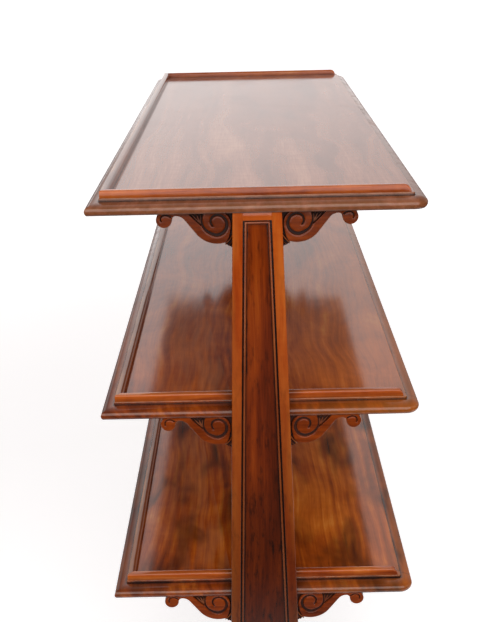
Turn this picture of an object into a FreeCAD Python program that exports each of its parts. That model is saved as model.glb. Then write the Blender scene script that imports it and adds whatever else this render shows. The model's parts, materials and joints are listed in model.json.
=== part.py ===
import FreeCAD, Part
import math
import os

from FreeCAD import Vector

# A three-tier mahogany dumbwaiter on two panelled end standards, in millimetres.
# X runs along the length, Y across the depth with the open front towards -Y, Z is up.
# The origin is on the floor, under the middle of the piece.

# Overall sizes
top_length = 1407.0
tier_depth = 508.0
lower_end_set_back = 10.0
tier_spacing = 336.0
lower_tier_height = 341.0

# Tier boards and the moulding worked on all four edges
board_thickness = 22.0
underside_inset = 3.0
widest_height = 7.0
ovolo_width = 18.9
ovolo_height = 10.4
ovolo_nose_radius = 6.5
quirk_width = 0.8
quirk_depth = 0.8
arris_radius = 1.4
front_corner_radius = 23.0

# Gallery rails round the back and the two ends of each tier
rail_thickness = 13.0
rail_height = 11.5
rail_arris = 2.5
rail_housing = 2.0
rail_front_gap = 25.0

# End standards, which taper from the foot to the top
standard_inset = 5.0
core_thickness = 34.0
facing_thickness = 8.0
standard_top_width = 73.2
standard_slope = 0.0285
stile_width = 15.5
head_rail_height = 12.5
foot_rail_height = 38.0
bead_gap = 2.5
bead_width = 3.4
bead_height = 5.2

# Joints between the boards, the standards and the feet
top_tenon_width = 40.0
top_tenon_thickness = 12.0
top_tenon_length = 10.0
foot_tenon_width = 76.0
foot_tenon_thickness = 14.0
foot_tenon_length = 30.0
tenon_clearance = 0.1
dowel_radius = 4.5
dowel_length = 46.0
dowel_depth_in_core = 20.0
dowel_spread = 44.0
dowel_clearance = 0.05

# Carved scroll brackets under each tier
bracket_thickness = 22.0
bracket_reach = 118.0
carving_depth = 3.2
spandrel_depth = 5.0

# Trestle feet
foot_length = 470.0
foot_height = 66.0
foot_thickness = 48.0
toe_height = 36.0
pad_length = 84.0
arch_rise = 12.0
arch_sweep = 30.0
foot_shoulder = 14.0
toe_flat = 30.0

# Castors
castor_height = 46.0
castor_from_toe = 46.0
plate_radius = 21.0
plate_thickness = 2.5
stem_radius = 6.5
stem_length = 22.0
pintle_radius = 4.0
pintle_length = 18.0
swivel_gap = 0.3
fit_clearance = 0.05
crown_thickness = 3.2
cheek_thickness = 3.0
cheek_eye_radius = 6.5
cheek_shoulder = 4.0
trail = 14.0
wheel_radius = 17.0
wheel_width = 13.0
tread_chamfer = 1.8
hub_radius = 7.0
hub_width = 15.4
hub_gap = 0.4
axle_radius = 2.5
axle_head_radius = 4.2
axle_head_height = 1.6

# Levels and places that follow from the sizes above
underside = {
    "lower": lower_tier_height,
    "middle": lower_tier_height + tier_spacing,
    "top": lower_tier_height + 2 * tier_spacing,
}
tier_length = {
    "lower": top_length - 2 * lower_end_set_back,
    "middle": top_length - 2 * lower_end_set_back,
    "top": top_length,
}
standard_outer_x = -top_length / 2 + standard_inset
core_outer_x = standard_outer_x + facing_thickness
standard_inner_x = core_outer_x + core_thickness
standard_mid_x = (standard_outer_x + standard_inner_x) / 2
foot_top = castor_height + foot_height
rail_inset = ovolo_width + quirk_width + arris_radius
castor_y = foot_length / 2 - castor_from_toe
plate_bottom = castor_height - plate_thickness
crown_top = plate_bottom - swivel_gap
cheek_inside = hub_width / 2 + hub_gap
cheek_outside = cheek_inside + cheek_thickness
axle_x = standard_mid_x + trail


def box(x0, x1, y0, y1, z0, z1):
    """A block between two opposite corners."""
    return Part.makeBox(x1 - x0, y1 - y0, z1 - z0, Vector(x0, y0, z0))


def cylinder(radius, base, direction, length):
    """A round bar from base, length long, along direction."""
    return Part.makeCylinder(radius, length, base, direction)


def line(a, b):
    """A straight edge."""
    return Part.makeLine(a, b)


def arc(start, middle, end):
    """A round edge through three points."""
    return Part.Arc(start, middle, end).toShape()


def arc_about(centre, start, end):
    """The shorter round edge from start to end about a centre."""
    radius = (start - centre).Length
    towards_middle = (start - centre) + (end - centre)
    return arc(start, centre + towards_middle * (radius / towards_middle.Length), end)


def quarter(start, corner, end):
    """A quarter of a circle from start to end that rounds off the square corner."""
    return arc_about(start + end - corner, start, end)


def ogee(start, end):
    """Two equal arcs from start to end, level at both, hollow below and round above."""
    run = Vector(end.x - start.x, end.y - start.y, 0).Length
    rise = end.z - start.z
    radius = (run * run + rise * rise) / (4 * rise)
    middle = (start + end) / 2
    up = Vector(0, 0, radius)
    return [arc_about(start + up, start, middle), arc_about(end - up, middle, end)]


def arc_chain(points):
    """Round edges, each through three points of a curve with an odd number of points."""
    return [arc(points[i], points[i + 1], points[i + 2]) for i in range(0, len(points) - 2, 2)]


def prism(edges, direction):
    """The solid that a closed outline sweeps along direction."""
    wire = Part.Wire(Part.__sortEdges__(edges))
    return Part.Face(wire).extrude(direction)


def half_width(z):
    """Half the width of an end standard at height z."""
    return standard_top_width / 2 + standard_slope * (underside["top"] - z)


def mirror_x(shape):
    """The same piece at the other end of the dumbwaiter."""
    return shape.mirror(Vector(0, 0, 0), Vector(1, 0, 0))


def mirror_y(shape):
    """The same piece on the other side, front to back."""
    return shape.mirror(Vector(0, 0, 0), Vector(0, 1, 0))


# The edge moulding of a tier

def ovolo():
    """The flat egg-shaped round of the moulding: a small arc at the nose and a large one above it."""
    nose = ovolo_nose_radius
    top = Vector(ovolo_width, 0, widest_height + ovolo_height)
    run = ovolo_width - nose
    large = (run * run + ovolo_height * ovolo_height - nose * nose) / (2 * (ovolo_height - nose))
    nose_centre = Vector(nose, 0, widest_height)
    large_centre = top - Vector(0, 0, large)
    away = nose_centre - large_centre
    meeting = nose_centre + away * (nose / away.Length)
    widest = Vector(0, 0, widest_height)
    return [arc_about(nose_centre, widest, meeting), arc_about(large_centre, meeting, top)]


def lower_round():
    """The rounded lower edge, upright at the widest line."""
    radius = (underside_inset * underside_inset + widest_height * widest_height) / (2 * underside_inset)
    centre = Vector(radius, 0, widest_height)
    return arc_about(centre, Vector(underside_inset, 0, 0), Vector(0, 0, widest_height))


def edge_profile():
    """Moulding from the underside to the top surface: X is the inset from the widest line, Z the height."""
    ovolo_top = widest_height + ovolo_height
    step_x = ovolo_width + quirk_width
    return [lower_round()] + ovolo() + [
        line(Vector(ovolo_width, 0, ovolo_top), Vector(ovolo_width, 0, ovolo_top - quirk_depth)),
        line(Vector(ovolo_width, 0, ovolo_top - quirk_depth), Vector(step_x, 0, ovolo_top - quirk_depth)),
        line(Vector(step_x, 0, ovolo_top - quirk_depth), Vector(step_x, 0, board_thickness - arris_radius)),
        quarter(
            Vector(step_x, 0, board_thickness - arris_radius),
            Vector(step_x, 0, board_thickness),
            Vector(rail_inset, 0, board_thickness),
        ),
    ]


def board_section(width):
    """Outline of a board of this width, moulded on both edges, in the XZ plane."""
    left = [edge.translated(Vector(-width / 2, 0, 0)) for edge in edge_profile()]
    right = [mirror_x(edge) for edge in left]
    top_x = width / 2 - rail_inset
    bottom_x = width / 2 - underside_inset
    top = line(Vector(-top_x, 0, board_thickness), Vector(top_x, 0, board_thickness))
    bottom = line(Vector(-bottom_x, 0, 0), Vector(bottom_x, 0, 0))
    return left + right + [top, bottom]


def rounded_front_corner(length):
    """The moulding turned about an upright axis, for the left front corner."""
    r = front_corner_radius
    inner = [
        line(Vector(rail_inset, 0, board_thickness), Vector(r, 0, board_thickness)),
        line(Vector(r, 0, board_thickness), Vector(r, 0, 0)),
        line(Vector(r, 0, 0), Vector(underside_inset, 0, 0)),
    ]
    face = Part.Face(Part.Wire(Part.__sortEdges__(edge_profile() + inner)))
    corner = face.revolve(Vector(r, 0, 0), Vector(0, 0, 1), 90)
    corner.translate(Vector(-length / 2, r - tier_depth / 2, 0))
    return corner


def moulded_board(length):
    """A board with its underside at Z 0: mitred moulding behind, rounded corners in front."""
    along = prism(board_section(tier_depth), Vector(0, length, 0))
    along.rotate(Vector(0, 0, 0), Vector(0, 0, 1), -90)
    along.translate(Vector(-length / 2, 0, 0))
    across = prism(board_section(length), Vector(0, tier_depth, 0))
    across.translate(Vector(0, -tier_depth / 2, 0))
    board = along.common(across)
    r = front_corner_radius
    end_x = -length / 2
    front_y = -tier_depth / 2
    corner_room = box(end_x - 1, end_x + r, front_y - 1, front_y + r, -1, board_thickness + 1)
    corner = rounded_front_corner(length)
    board = board.cut(corner_room).cut(mirror_x(corner_room))
    return board.fuse(corner).fuse(mirror_x(corner)).removeSplitter()


# Gallery rails

def rail_bar(length):
    """A straight rail along X from 0, its outer face at Y 0 and its body towards -Y, standing on Z 0."""
    height = rail_housing + rail_height
    t = rail_thickness
    a = rail_arris
    outline = [
        line(Vector(0, 0, 0), Vector(0, 0, height - a)),
        quarter(Vector(0, 0, height - a), Vector(0, 0, height), Vector(0, -a, height)),
        line(Vector(0, -a, height), Vector(0, a - t, height)),
        quarter(Vector(0, a - t, height), Vector(0, -t, height), Vector(0, -t, height - a)),
        line(Vector(0, -t, height - a), Vector(0, -t, 0)),
        line(Vector(0, -t, 0), Vector(0, 0, 0)),
    ]
    return prism(outline, Vector(length, 0, 0))


def mitre_wedge(x, y):
    """Everything outside the 45 degree mitre that starts at this outer corner of the left end."""
    reach = 3 * rail_thickness
    tall = rail_housing + rail_height + 2
    outline = [
        line(Vector(x, y, -1), Vector(x + reach, y - reach, -1)),
        line(Vector(x + reach, y - reach, -1), Vector(x - reach, y - reach, -1)),
        line(Vector(x - reach, y - reach, -1), Vector(x, y, -1)),
    ]
    return prism(outline, Vector(0, 0, tall))


def back_rail(length):
    """The rail along the back, mitred at both ends."""
    x = length / 2 - rail_inset
    y = tier_depth / 2 - rail_inset
    rail = rail_bar(2 * x)
    rail.translate(Vector(-x, y, 0))
    wedge = mitre_wedge(-x, y)
    return rail.cut(wedge).cut(mirror_x(wedge))


def front_drop(front_y, x):
    """What is cut away above the rounded front end of an end rail."""
    r = rail_height
    top = rail_housing + rail_height
    outline = [
        quarter(Vector(x, front_y, top - r), Vector(x, front_y, top), Vector(x, front_y + r, top)),
        line(Vector(x, front_y + r, top), Vector(x, front_y + r, top + 1)),
        line(Vector(x, front_y + r, top + 1), Vector(x, front_y - 1, top + 1)),
        line(Vector(x, front_y - 1, top + 1), Vector(x, front_y - 1, top - r)),
        line(Vector(x, front_y - 1, top - r), Vector(x, front_y, top - r)),
    ]
    return prism(outline, Vector(rail_thickness, 0, 0))


def left_rail(length):
    """The rail along the left end, mitred behind and rounded down to the board in front."""
    x = -length / 2 + rail_inset
    back_y = tier_depth / 2 - rail_inset
    front_y = -tier_depth / 2 + rail_front_gap
    rail = rail_bar(back_y - front_y)
    rail.rotate(Vector(0, 0, 0), Vector(0, 0, 1), 90)
    rail.translate(Vector(x, front_y, 0))
    back_part = box(x, x + rail_thickness, front_y + rail_height, back_y, -1, rail_housing + rail_height + 1)
    keep = back_part.common(mitre_wedge(x, back_y)).fuse(
        box(x, x + rail_thickness, front_y, back_y - 2 * rail_thickness, -1, rail_housing + rail_height + 1)
    )
    return rail.common(keep).cut(front_drop(front_y, x))


def rail_groove(length):
    """The shallow housing in a board that takes the three rails."""
    x = length / 2 - rail_inset
    back_y = tier_depth / 2 - rail_inset
    front_y = -tier_depth / 2 + rail_front_gap
    z0 = board_thickness - rail_housing
    z1 = board_thickness + 1
    back = box(-x, x, back_y - rail_thickness, back_y, z0, z1)
    end = box(-x, rail_thickness - x, front_y, back_y, z0, z1)
    return back.fuse(end).fuse(mirror_x(end))


# End standards

def tapered(x0, x1, z0, z1, side_inset):
    """A plank whose sides follow the standard's taper, side_inset in from each of them."""
    low = half_width(z0) - side_inset
    high = half_width(z1) - side_inset
    corners = [Vector(x0, -low, z0), Vector(x0, low, z0), Vector(x0, high, z1), Vector(x0, -high, z1)]
    outline = [line(corners[i], corners[(i + 1) % 4]) for i in range(4)]
    return prism(outline, Vector(x1 - x0, 0, 0))


def tenon(width, thickness, z0, z1, grow):
    """A tenon on the standard's middle plane, or its mortise with grow as clearance."""
    return box(
        standard_mid_x - thickness / 2 - grow,
        standard_mid_x + thickness / 2 + grow,
        -width / 2 - grow,
        width / 2 + grow,
        z0,
        z1,
    )


def dowels(grow):
    """The dowels that hold one tier board to the left standard, or their holes with grow as clearance."""
    bars = []
    for name in ("lower", "middle"):
        z = underside[name] + board_thickness / 2
        for y in (-dowel_spread / 2, dowel_spread / 2):
            base = Vector(standard_inner_x - dowel_depth_in_core - grow, y, z)
            bars.append(cylinder(dowel_radius + grow, base, Vector(1, 0, 0), dowel_length + 2 * grow))
    return bars


def standard_core():
    """The plank behind the facing: its outer face is the ground of the panel."""
    top_z = underside["top"]
    core = tapered(core_outer_x, standard_inner_x, foot_top, top_z, 0)
    top = tenon(top_tenon_width, top_tenon_thickness, top_z, top_z + top_tenon_length, 0)
    foot = tenon(foot_tenon_width, foot_tenon_thickness, foot_top - foot_tenon_length, foot_top, 0)
    core = core.fuse(top).fuse(foot)
    for hole in dowels(dowel_clearance):
        core = core.cut(hole)
    return core.removeSplitter()


def standard_stile():
    """The back facing stile, a parallel strip along the standard's slanting side."""
    whole = tapered(standard_outer_x, core_outer_x, foot_top, underside["top"], 0)
    inside = tapered(standard_outer_x - 1, core_outer_x + 1, foot_top, underside["top"], stile_width)
    front_half = box(standard_outer_x - 1, core_outer_x + 1, -tier_depth, 0, 0, underside["top"] + 1)
    return whole.cut(inside).cut(front_half)


def standard_cross_rail(z0, z1):
    """A facing rail between the two stiles."""
    return tapered(standard_outer_x, core_outer_x, z0, z1, stile_width)


def bead_corners():
    """Middle line of the bead round the sunk panel."""
    side_inset = stile_width + bead_gap + bead_width / 2
    z0 = foot_top + foot_rail_height + bead_gap + bead_width / 2
    z1 = underside["top"] - head_rail_height - bead_gap - bead_width / 2
    low = half_width(z0) - side_inset
    high = half_width(z1) - side_inset
    x = core_outer_x
    return [Vector(x, -low, z0), Vector(x, low, z0), Vector(x, high, z1), Vector(x, -high, z1)]


def standard_bead():
    """The half-round bead, mitred at its four corners, planted on the panel."""
    corners = bead_corners()
    start = (corners[0] + corners[1]) / 2
    stops = [start, corners[1], corners[2], corners[3], corners[0], start]
    path = Part.Wire([line(stops[i], stops[i + 1]) for i in range(5)])
    r = bead_width / 2
    shoulder = start.x - bead_height + r
    crown = Vector(start.x - bead_height, start.y, start.z)
    low = Vector(shoulder, start.y, start.z - r)
    high = Vector(shoulder, start.y, start.z + r)
    outline = [
        line(Vector(start.x, start.y, start.z - r), low),
        arc(low, crown, high),
        line(high, Vector(start.x, start.y, start.z + r)),
        line(Vector(start.x, start.y, start.z + r), Vector(start.x, start.y, start.z - r)),
    ]
    profile = Part.Wire(Part.__sortEdges__(outline))
    return path.makePipeShell([profile], True, False, 1)


# Scroll brackets, drawn for the back of the left end:
# out is the distance from the standard's side, down the depth below the board

scroll_foot_out = 9.5
scroll_bottom = (23.0, 50.0)
scroll_radius = 40.0
scroll_slope_degrees = 52.0
hollow_crown = (84.3, 6.1)
hollow_radius = 16.0
crotch_radius = 6.1
small_volute_radius = 11.8
end_fillet = 3.0
husk_corner = (12.0, 51.0)
husk_tip = (4.0, 55.5)
husk_foot_depth = 57.0
large_eye = (22.3, 19.2)
large_start_degrees = -40.0
large_step_degrees = 44.0
large_radii = [27.0, 22.6, 18.4, 17.0, 14.8, 13.5, 13.3, 13.7, 12.9, 9.9, 7.2]
large_half_widths = [0.7, 1.3, 2.0, 2.5, 2.1, 1.8, 1.5, 1.3, 1.2, 1.0, 0.5]
small_eye = (100.6, 12.0)
small_start_degrees = 205.0
small_step_degrees = 32.0
small_radii = [9.8, 8.4, 7.8, 7.4, 7.0, 6.3, 5.4]
small_half_widths = [1.3, 1.2, 1.1, 1.0, 0.9, 0.8, 0.4]
spandrel_edge = [(66.5, 2.2), (57.0, 12.7), (46.4, 22.8)]
spandrel_inner = [(46.4, 22.8), (45.7, 11.0), (44.0, 2.2)]


def bracket_point(z, out, down, x):
    """A point of a bracket whose top is at height z."""
    return Vector(x, half_width(z) + out, z - down)


def spiral(z, x, eye, start_degrees, step_degrees, radii):
    """A spiral of round edges about the eye, wound in equal steps of angle."""
    points = []
    for index, radius in enumerate(radii):
        angle = math.radians(start_degrees + index * step_degrees)
        out = eye[0] + radius * math.cos(angle)
        down = eye[1] + radius * math.sin(angle)
        points.append(bracket_point(z, out, down, x))
    return arc_chain(points)


def volute_groove(z, x, depth, eye, start_degrees, step_degrees, radii, half_widths):
    """The channel cut along a volute, wide in the middle and narrow at both ends, from the plane at x."""
    outer = [r + h for r, h in zip(radii, half_widths)]
    inner = [r - h for r, h in zip(radii, half_widths)]
    outside = spiral(z, x, eye, start_degrees, step_degrees, outer)
    inside = spiral(z, x, eye, start_degrees, step_degrees, inner)
    first = line(outside[0].firstVertex().Point, inside[0].firstVertex().Point)
    last = line(outside[-1].lastVertex().Point, inside[-1].lastVertex().Point)
    return prism(outside + inside + [first, last], Vector(depth, 0, 0))


def bracket_outline(z, x):
    """The sawn outline of a bracket."""
    def at(out, down):
        return bracket_point(z, out, down, x)

    def side(down):
        return Vector(x, half_width(z - down), z - down)

    slope = math.radians(scroll_slope_degrees)
    bottom_out, bottom_down = scroll_bottom
    crown_out, crown_down = hollow_crown
    scroll_centre = at(bottom_out, bottom_down - scroll_radius)
    foot_drop = math.sqrt(scroll_radius ** 2 - (bottom_out - scroll_foot_out) ** 2)
    foot = at(scroll_foot_out, bottom_down - scroll_radius + foot_drop)
    across = math.sin(slope)
    lift = 1 - math.cos(slope)
    rise = at(bottom_out + scroll_radius * across, bottom_down - scroll_radius * lift)
    hollow = at(crown_out - hollow_radius * across, crown_down + hollow_radius * lift)
    crown = at(crown_out, crown_down)
    neck = at(crown_out + crotch_radius, crown_down + crotch_radius)
    volute_out = crown_out + crotch_radius + small_volute_radius
    volute_down = crown_down + crotch_radius
    lip_angle = math.asin((volute_down - end_fillet) / small_volute_radius)
    lip = at(volute_out + small_volute_radius * math.cos(lip_angle), end_fillet)
    low = at(volute_out, volute_down + small_volute_radius)
    return [
        line(side(0), at(bracket_reach, 0)),
        line(at(bracket_reach, 0), lip),
        arc_about(at(volute_out, volute_down), lip, low),
        arc_about(at(volute_out, volute_down), low, neck),
        arc_about(at(crown_out, crown_down + crotch_radius), neck, crown),
        arc_about(at(crown_out, crown_down + hollow_radius), crown, hollow),
        line(hollow, rise),
        arc_about(scroll_centre, rise, foot),
        line(foot, at(*husk_corner)),
        line(at(*husk_corner), at(*husk_tip)),
        line(at(*husk_tip), side(husk_foot_depth)),
        line(side(husk_foot_depth), side(0)),
    ]


def bracket_carving(z, x):
    """The two volutes and the sunk spandrel, cut from the outer face at x."""
    overshoot = 0.5
    start = x - overshoot
    depth = carving_depth + overshoot
    large = volute_groove(
        z, start, depth, large_eye, large_start_degrees, large_step_degrees, large_radii, large_half_widths
    )
    small = volute_groove(
        z, start, depth, small_eye, small_start_degrees, small_step_degrees, small_radii, small_half_widths
    )
    edge = [bracket_point(z, out, down, start) for out, down in spandrel_edge]
    inner = [bracket_point(z, out, down, start) for out, down in spandrel_inner]
    outline = [arc(*edge), arc(*inner), line(inner[-1], edge[0])]
    spandrel = prism(outline, Vector(spandrel_depth + overshoot, 0, 0))
    return [large, small, spandrel]


def scroll_bracket(z):
    """One bracket with its top at height z, behind the left standard, carved on its outer face."""
    outer_x = standard_mid_x - bracket_thickness / 2
    bracket = prism(bracket_outline(z, outer_x), Vector(bracket_thickness, 0, 0))
    for cutter in bracket_carving(z, outer_x):
        bracket = bracket.cut(cutter)
    return bracket


# Trestle feet

def foot_half_outline(x):
    """Back half of the foot's outline: arch, pad, rounded toe, ogee and shoulder."""
    z0 = castor_height
    end = foot_length / 2
    r = toe_height / 2
    pad_y = end - pad_length
    arch_y = pad_y - arch_sweep
    shoulder_y = half_width(foot_top) + foot_shoulder

    def at(y, z):
        return Vector(x, y, z0 + z)

    toe_edge = at(end - r - toe_flat, toe_height)
    return [
        line(at(0, arch_rise), at(arch_y, arch_rise)),
        line(at(pad_y, 0), at(end - r, 0)),
        arc(at(end - r, 0), at(end, r), at(end - r, toe_height)),
        line(at(end - r, toe_height), toe_edge),
        line(at(shoulder_y, foot_height), at(0, foot_height)),
    ] + ogee(at(pad_y, 0), at(arch_y, arch_rise)) + ogee(toe_edge, at(shoulder_y, foot_height))


def trestle_foot():
    """The foot under the left standard, mortised for it and bored for two castors."""
    x0 = standard_mid_x - foot_thickness / 2
    half = foot_half_outline(x0)
    other = [mirror_y(edge) for edge in half]
    foot = prism(half + other, Vector(foot_thickness, 0, 0))
    foot = foot.cut(
        tenon(
            foot_tenon_width,
            foot_tenon_thickness,
            foot_top - foot_tenon_length - tenon_clearance,
            foot_top + 1,
            tenon_clearance,
        )
    )
    for y in (-castor_y, castor_y):
        bore = cylinder(
            stem_radius + fit_clearance,
            Vector(standard_mid_x, y, castor_height - 1),
            Vector(0, 0, 1),
            stem_length + 1 + fit_clearance,
        )
        foot = foot.cut(bore)
    return foot


# Castors, drawn for the back of the left end

def castor_socket():
    """The round plate under the foot, with the hollow stem that goes up into the foot."""
    centre = Vector(standard_mid_x, castor_y, plate_bottom)
    up = Vector(0, 0, 1)
    plate = cylinder(plate_radius, centre, up, plate_thickness)
    stem = cylinder(stem_radius, centre, up, plate_thickness + stem_length)
    bore = cylinder(pintle_radius + fit_clearance, centre - up, up, pintle_length + 2)
    return plate.fuse(stem).cut(bore).removeSplitter()


def fork_crown():
    """The flat top of the fork, round behind the pintle and square over the wheel."""
    x = standard_mid_x
    z = crown_top - crown_thickness
    front_x = axle_x + cheek_eye_radius
    left = Vector(x, castor_y + cheek_outside, z)
    right = Vector(x, castor_y - cheek_outside, z)
    front_left = Vector(front_x, castor_y + cheek_outside, z)
    front_right = Vector(front_x, castor_y - cheek_outside, z)
    outline = [
        arc(left, Vector(x - cheek_outside, castor_y, z), right),
        line(right, front_right),
        line(front_right, front_left),
        line(front_left, left),
    ]
    return prism(outline, Vector(0, 0, crown_thickness))


def fork_cheek(y0):
    """One side of the fork, narrowing down to the axle eye, with its inner or outer face at y0."""
    back_x = standard_mid_x
    front_x = axle_x + cheek_eye_radius
    eye_back_x = axle_x - cheek_eye_radius
    top = crown_top - crown_thickness
    z = wheel_radius
    outline = [
        line(Vector(back_x, y0, top), Vector(front_x, y0, top)),
        line(Vector(front_x, y0, top), Vector(front_x, y0, z)),
        arc(Vector(front_x, y0, z), Vector(axle_x, y0, z - cheek_eye_radius), Vector(eye_back_x, y0, z)),
        line(Vector(eye_back_x, y0, z), Vector(back_x, y0, top - cheek_shoulder)),
        line(Vector(back_x, y0, top - cheek_shoulder), Vector(back_x, y0, top)),
    ]
    return prism(outline, Vector(0, cheek_thickness, 0))


def castor_fork():
    """The fork: crown, two cheeks and the pintle that turns in the socket."""
    crown_bottom = Vector(standard_mid_x, castor_y, crown_top - crown_thickness)
    height = crown_thickness + swivel_gap + pintle_length
    pintle = cylinder(pintle_radius, crown_bottom, Vector(0, 0, 1), height)
    near = fork_cheek(castor_y - cheek_outside)
    far = fork_cheek(castor_y + cheek_inside)
    fork = fork_crown().fuse(pintle).fuse(near).fuse(far)
    eye_start = Vector(axle_x, castor_y - cheek_outside - 1, wheel_radius)
    eye = cylinder(axle_radius + fit_clearance, eye_start, Vector(0, 1, 0), 2 * cheek_outside + 2)
    return fork.cut(eye).removeSplitter()


def castor_axle():
    """The axle pin, with a low rivet head outside each cheek."""
    across = Vector(0, 1, 0)
    near = Vector(axle_x, castor_y - cheek_outside, wheel_radius)
    far = Vector(axle_x, castor_y + cheek_outside, wheel_radius)
    pin = cylinder(axle_radius, near, across, 2 * cheek_outside)
    near_head = cylinder(axle_head_radius, near, across * -1, axle_head_height)
    far_head = cylinder(axle_head_radius, far, across, axle_head_height)
    return pin.fuse(near_head).fuse(far_head).removeSplitter()


def castor_wheel():
    """A turned wheel with chamfered tread and raised hub: half its section, spun about the axle."""
    bore = axle_radius + fit_clearance
    side = [
        (bore, hub_width / 2),
        (hub_radius, hub_width / 2),
        (hub_radius, wheel_width / 2),
        (wheel_radius - tread_chamfer, wheel_width / 2),
        (wheel_radius, wheel_width / 2 - tread_chamfer),
    ]
    outline = side + [(radius, -y) for radius, y in reversed(side)]
    points = [Vector(axle_x, castor_y + y, wheel_radius + radius) for radius, y in outline]
    edges = [line(points[i - 1], points[i]) for i in range(len(points))]
    face = Part.Face(Part.Wire(edges))
    return face.revolve(Vector(axle_x, castor_y, wheel_radius), Vector(0, 1, 0), 360)


# Assembly

def tier_pieces(name):
    """The board and the gallery rails of one tier, as named pieces."""
    length = tier_length[name]
    z = underside[name]
    board = moulded_board(length).cut(rail_groove(length))
    board.translate(Vector(0, 0, z))
    back = back_rail(length)
    left = left_rail(length)
    for rail in (back, left):
        rail.translate(Vector(0, 0, z + board_thickness - rail_housing))
    pieces = {name + "_board": board, name + "_back_rail": back}
    if name == "top":
        end_z = z + top_tenon_length + tenon_clearance
        mortise = tenon(top_tenon_width, top_tenon_thickness, z - 1, end_z, tenon_clearance)
        pieces["top_board"] = board.cut(mortise).cut(mirror_x(mortise))
        pieces["top_left_rail"] = left
        pieces["top_right_rail"] = mirror_x(left)
        return pieces
    gallery_top = z + board_thickness + rail_height
    housing = tapered(standard_outer_x - 1, standard_inner_x, z - 1, gallery_top + 1, 0)
    board = board.cut(housing).cut(mirror_x(housing))
    for hole in dowels(dowel_clearance):
        board = board.cut(hole).cut(mirror_x(hole))
    pieces[name + "_board"] = board
    split = sorted(left.cut(housing).Solids, key=lambda solid: solid.CenterOfMass.y)
    for place, solid in (("front", split[0]), ("back", split[-1])):
        pieces[name + "_left_" + place + "_rail"] = solid
        pieces[name + "_right_" + place + "_rail"] = mirror_x(solid)
    return pieces


def standard_pieces():
    """The six pieces of each end standard."""
    stile = standard_stile()
    left = {
        "core": standard_core(),
        "back_stile": stile,
        "front_stile": mirror_y(stile),
        "head_rail": standard_cross_rail(underside["top"] - head_rail_height, underside["top"]),
        "foot_rail": standard_cross_rail(foot_top, foot_top + foot_rail_height),
        "bead": standard_bead(),
    }
    pieces = {}
    for name, shape in left.items():
        pieces["left_standard_" + name] = shape
        pieces["right_standard_" + name] = mirror_x(shape)
    return pieces


def bracket_pieces():
    """Four brackets under each tier."""
    pieces = {}
    for name, z in underside.items():
        back = scroll_bracket(z)
        front = mirror_y(back)
        pieces[name + "_left_back_bracket"] = back
        pieces[name + "_left_front_bracket"] = front
        pieces[name + "_right_back_bracket"] = mirror_x(back)
        pieces[name + "_right_front_bracket"] = mirror_x(front)
    return pieces


def four_corners(name, shape):
    """The same piece at the four castors."""
    front = mirror_y(shape)
    return {
        "left_back_" + name: shape,
        "left_front_" + name: front,
        "right_back_" + name: mirror_x(shape),
        "right_front_" + name: mirror_x(front),
    }


def tier_dowels():
    """All the dowels that hold the two lower boards, as one group of loose solids."""
    bars = dowels(0)
    bars += [mirror_x(bar) for bar in bars]
    return Part.makeCompound(bars)


def build():
    """Every sub-part by name."""
    pieces = {}
    for name in underside:
        pieces.update(tier_pieces(name))
    pieces.update(standard_pieces())
    pieces.update(bracket_pieces())
    foot = trestle_foot()
    pieces["left_foot"] = foot
    pieces["right_foot"] = mirror_x(foot)
    pieces.update(four_corners("castor_socket", castor_socket()))
    pieces.update(four_corners("castor_fork", castor_fork()))
    pieces.update(four_corners("castor_axle", castor_axle()))
    pieces.update(four_corners("castor_wheel", castor_wheel()))
    pieces["tier_dowels"] = tier_dowels()
    return pieces


os.makedirs("parts", exist_ok=True)
for piece_name, piece in build().items():
    piece.exportStep("parts/" + piece_name + ".step")
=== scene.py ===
# %% [markdown]
# This lesson dresses a long three-tier dumbwaiter in polished mahogany. The frame holds the
# piece at its real size, in metres: X runs along its length, Y across its depth with the open
# front towards -Y, and Z is up. Every shape made here sits exactly where the frame has it.

# %% Load the frame
import json
import math

import bmesh
import bpy
import numpy as np
from mathutils import Matrix, Vector


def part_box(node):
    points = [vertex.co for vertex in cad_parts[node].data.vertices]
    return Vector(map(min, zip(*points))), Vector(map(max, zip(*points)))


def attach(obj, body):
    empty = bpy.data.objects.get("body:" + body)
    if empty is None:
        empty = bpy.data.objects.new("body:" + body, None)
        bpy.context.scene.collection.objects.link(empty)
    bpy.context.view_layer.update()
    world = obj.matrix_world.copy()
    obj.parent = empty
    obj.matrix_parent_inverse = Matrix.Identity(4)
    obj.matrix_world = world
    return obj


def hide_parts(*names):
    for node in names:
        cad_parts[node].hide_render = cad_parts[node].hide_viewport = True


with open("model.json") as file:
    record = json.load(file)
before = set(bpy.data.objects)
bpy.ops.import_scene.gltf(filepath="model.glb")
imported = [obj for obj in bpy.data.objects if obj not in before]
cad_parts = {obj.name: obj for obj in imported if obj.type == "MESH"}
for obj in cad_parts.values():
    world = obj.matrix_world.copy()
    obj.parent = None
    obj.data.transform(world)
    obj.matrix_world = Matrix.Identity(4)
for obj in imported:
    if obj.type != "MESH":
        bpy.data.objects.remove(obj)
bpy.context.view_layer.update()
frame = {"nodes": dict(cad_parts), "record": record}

MM = 0.001
slot_of = {part["node"]: part["material_slot"] for part in frame["record"]["subparts"]}

# %% [markdown]
# The camera stands a little above the left end and looks along the whole piece. It could be
# aimed by eye, but its place was solved from the corners of the three tiers, so perspective
# draws the tiers as in the photograph. It is turned by three angles, which also hold its slight
# roll, and its lens is given in millimetres for the picture's longer side.

# %% Camera
CAMERA_PLACE = Vector((-2.1726, 0.0124, 1.3992))
CAMERA_YAW = math.radians(0.049)
CAMERA_PITCH = math.radians(20.133)
CAMERA_ROLL = math.radians(-1.253)
CAMERA_LENS = 59.70
SENSOR_WIDTH = 36


def add_object(name, data):
    """A new object in the scene."""
    made = bpy.data.objects.new(name, data)
    bpy.context.scene.collection.objects.link(made)
    return made


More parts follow.
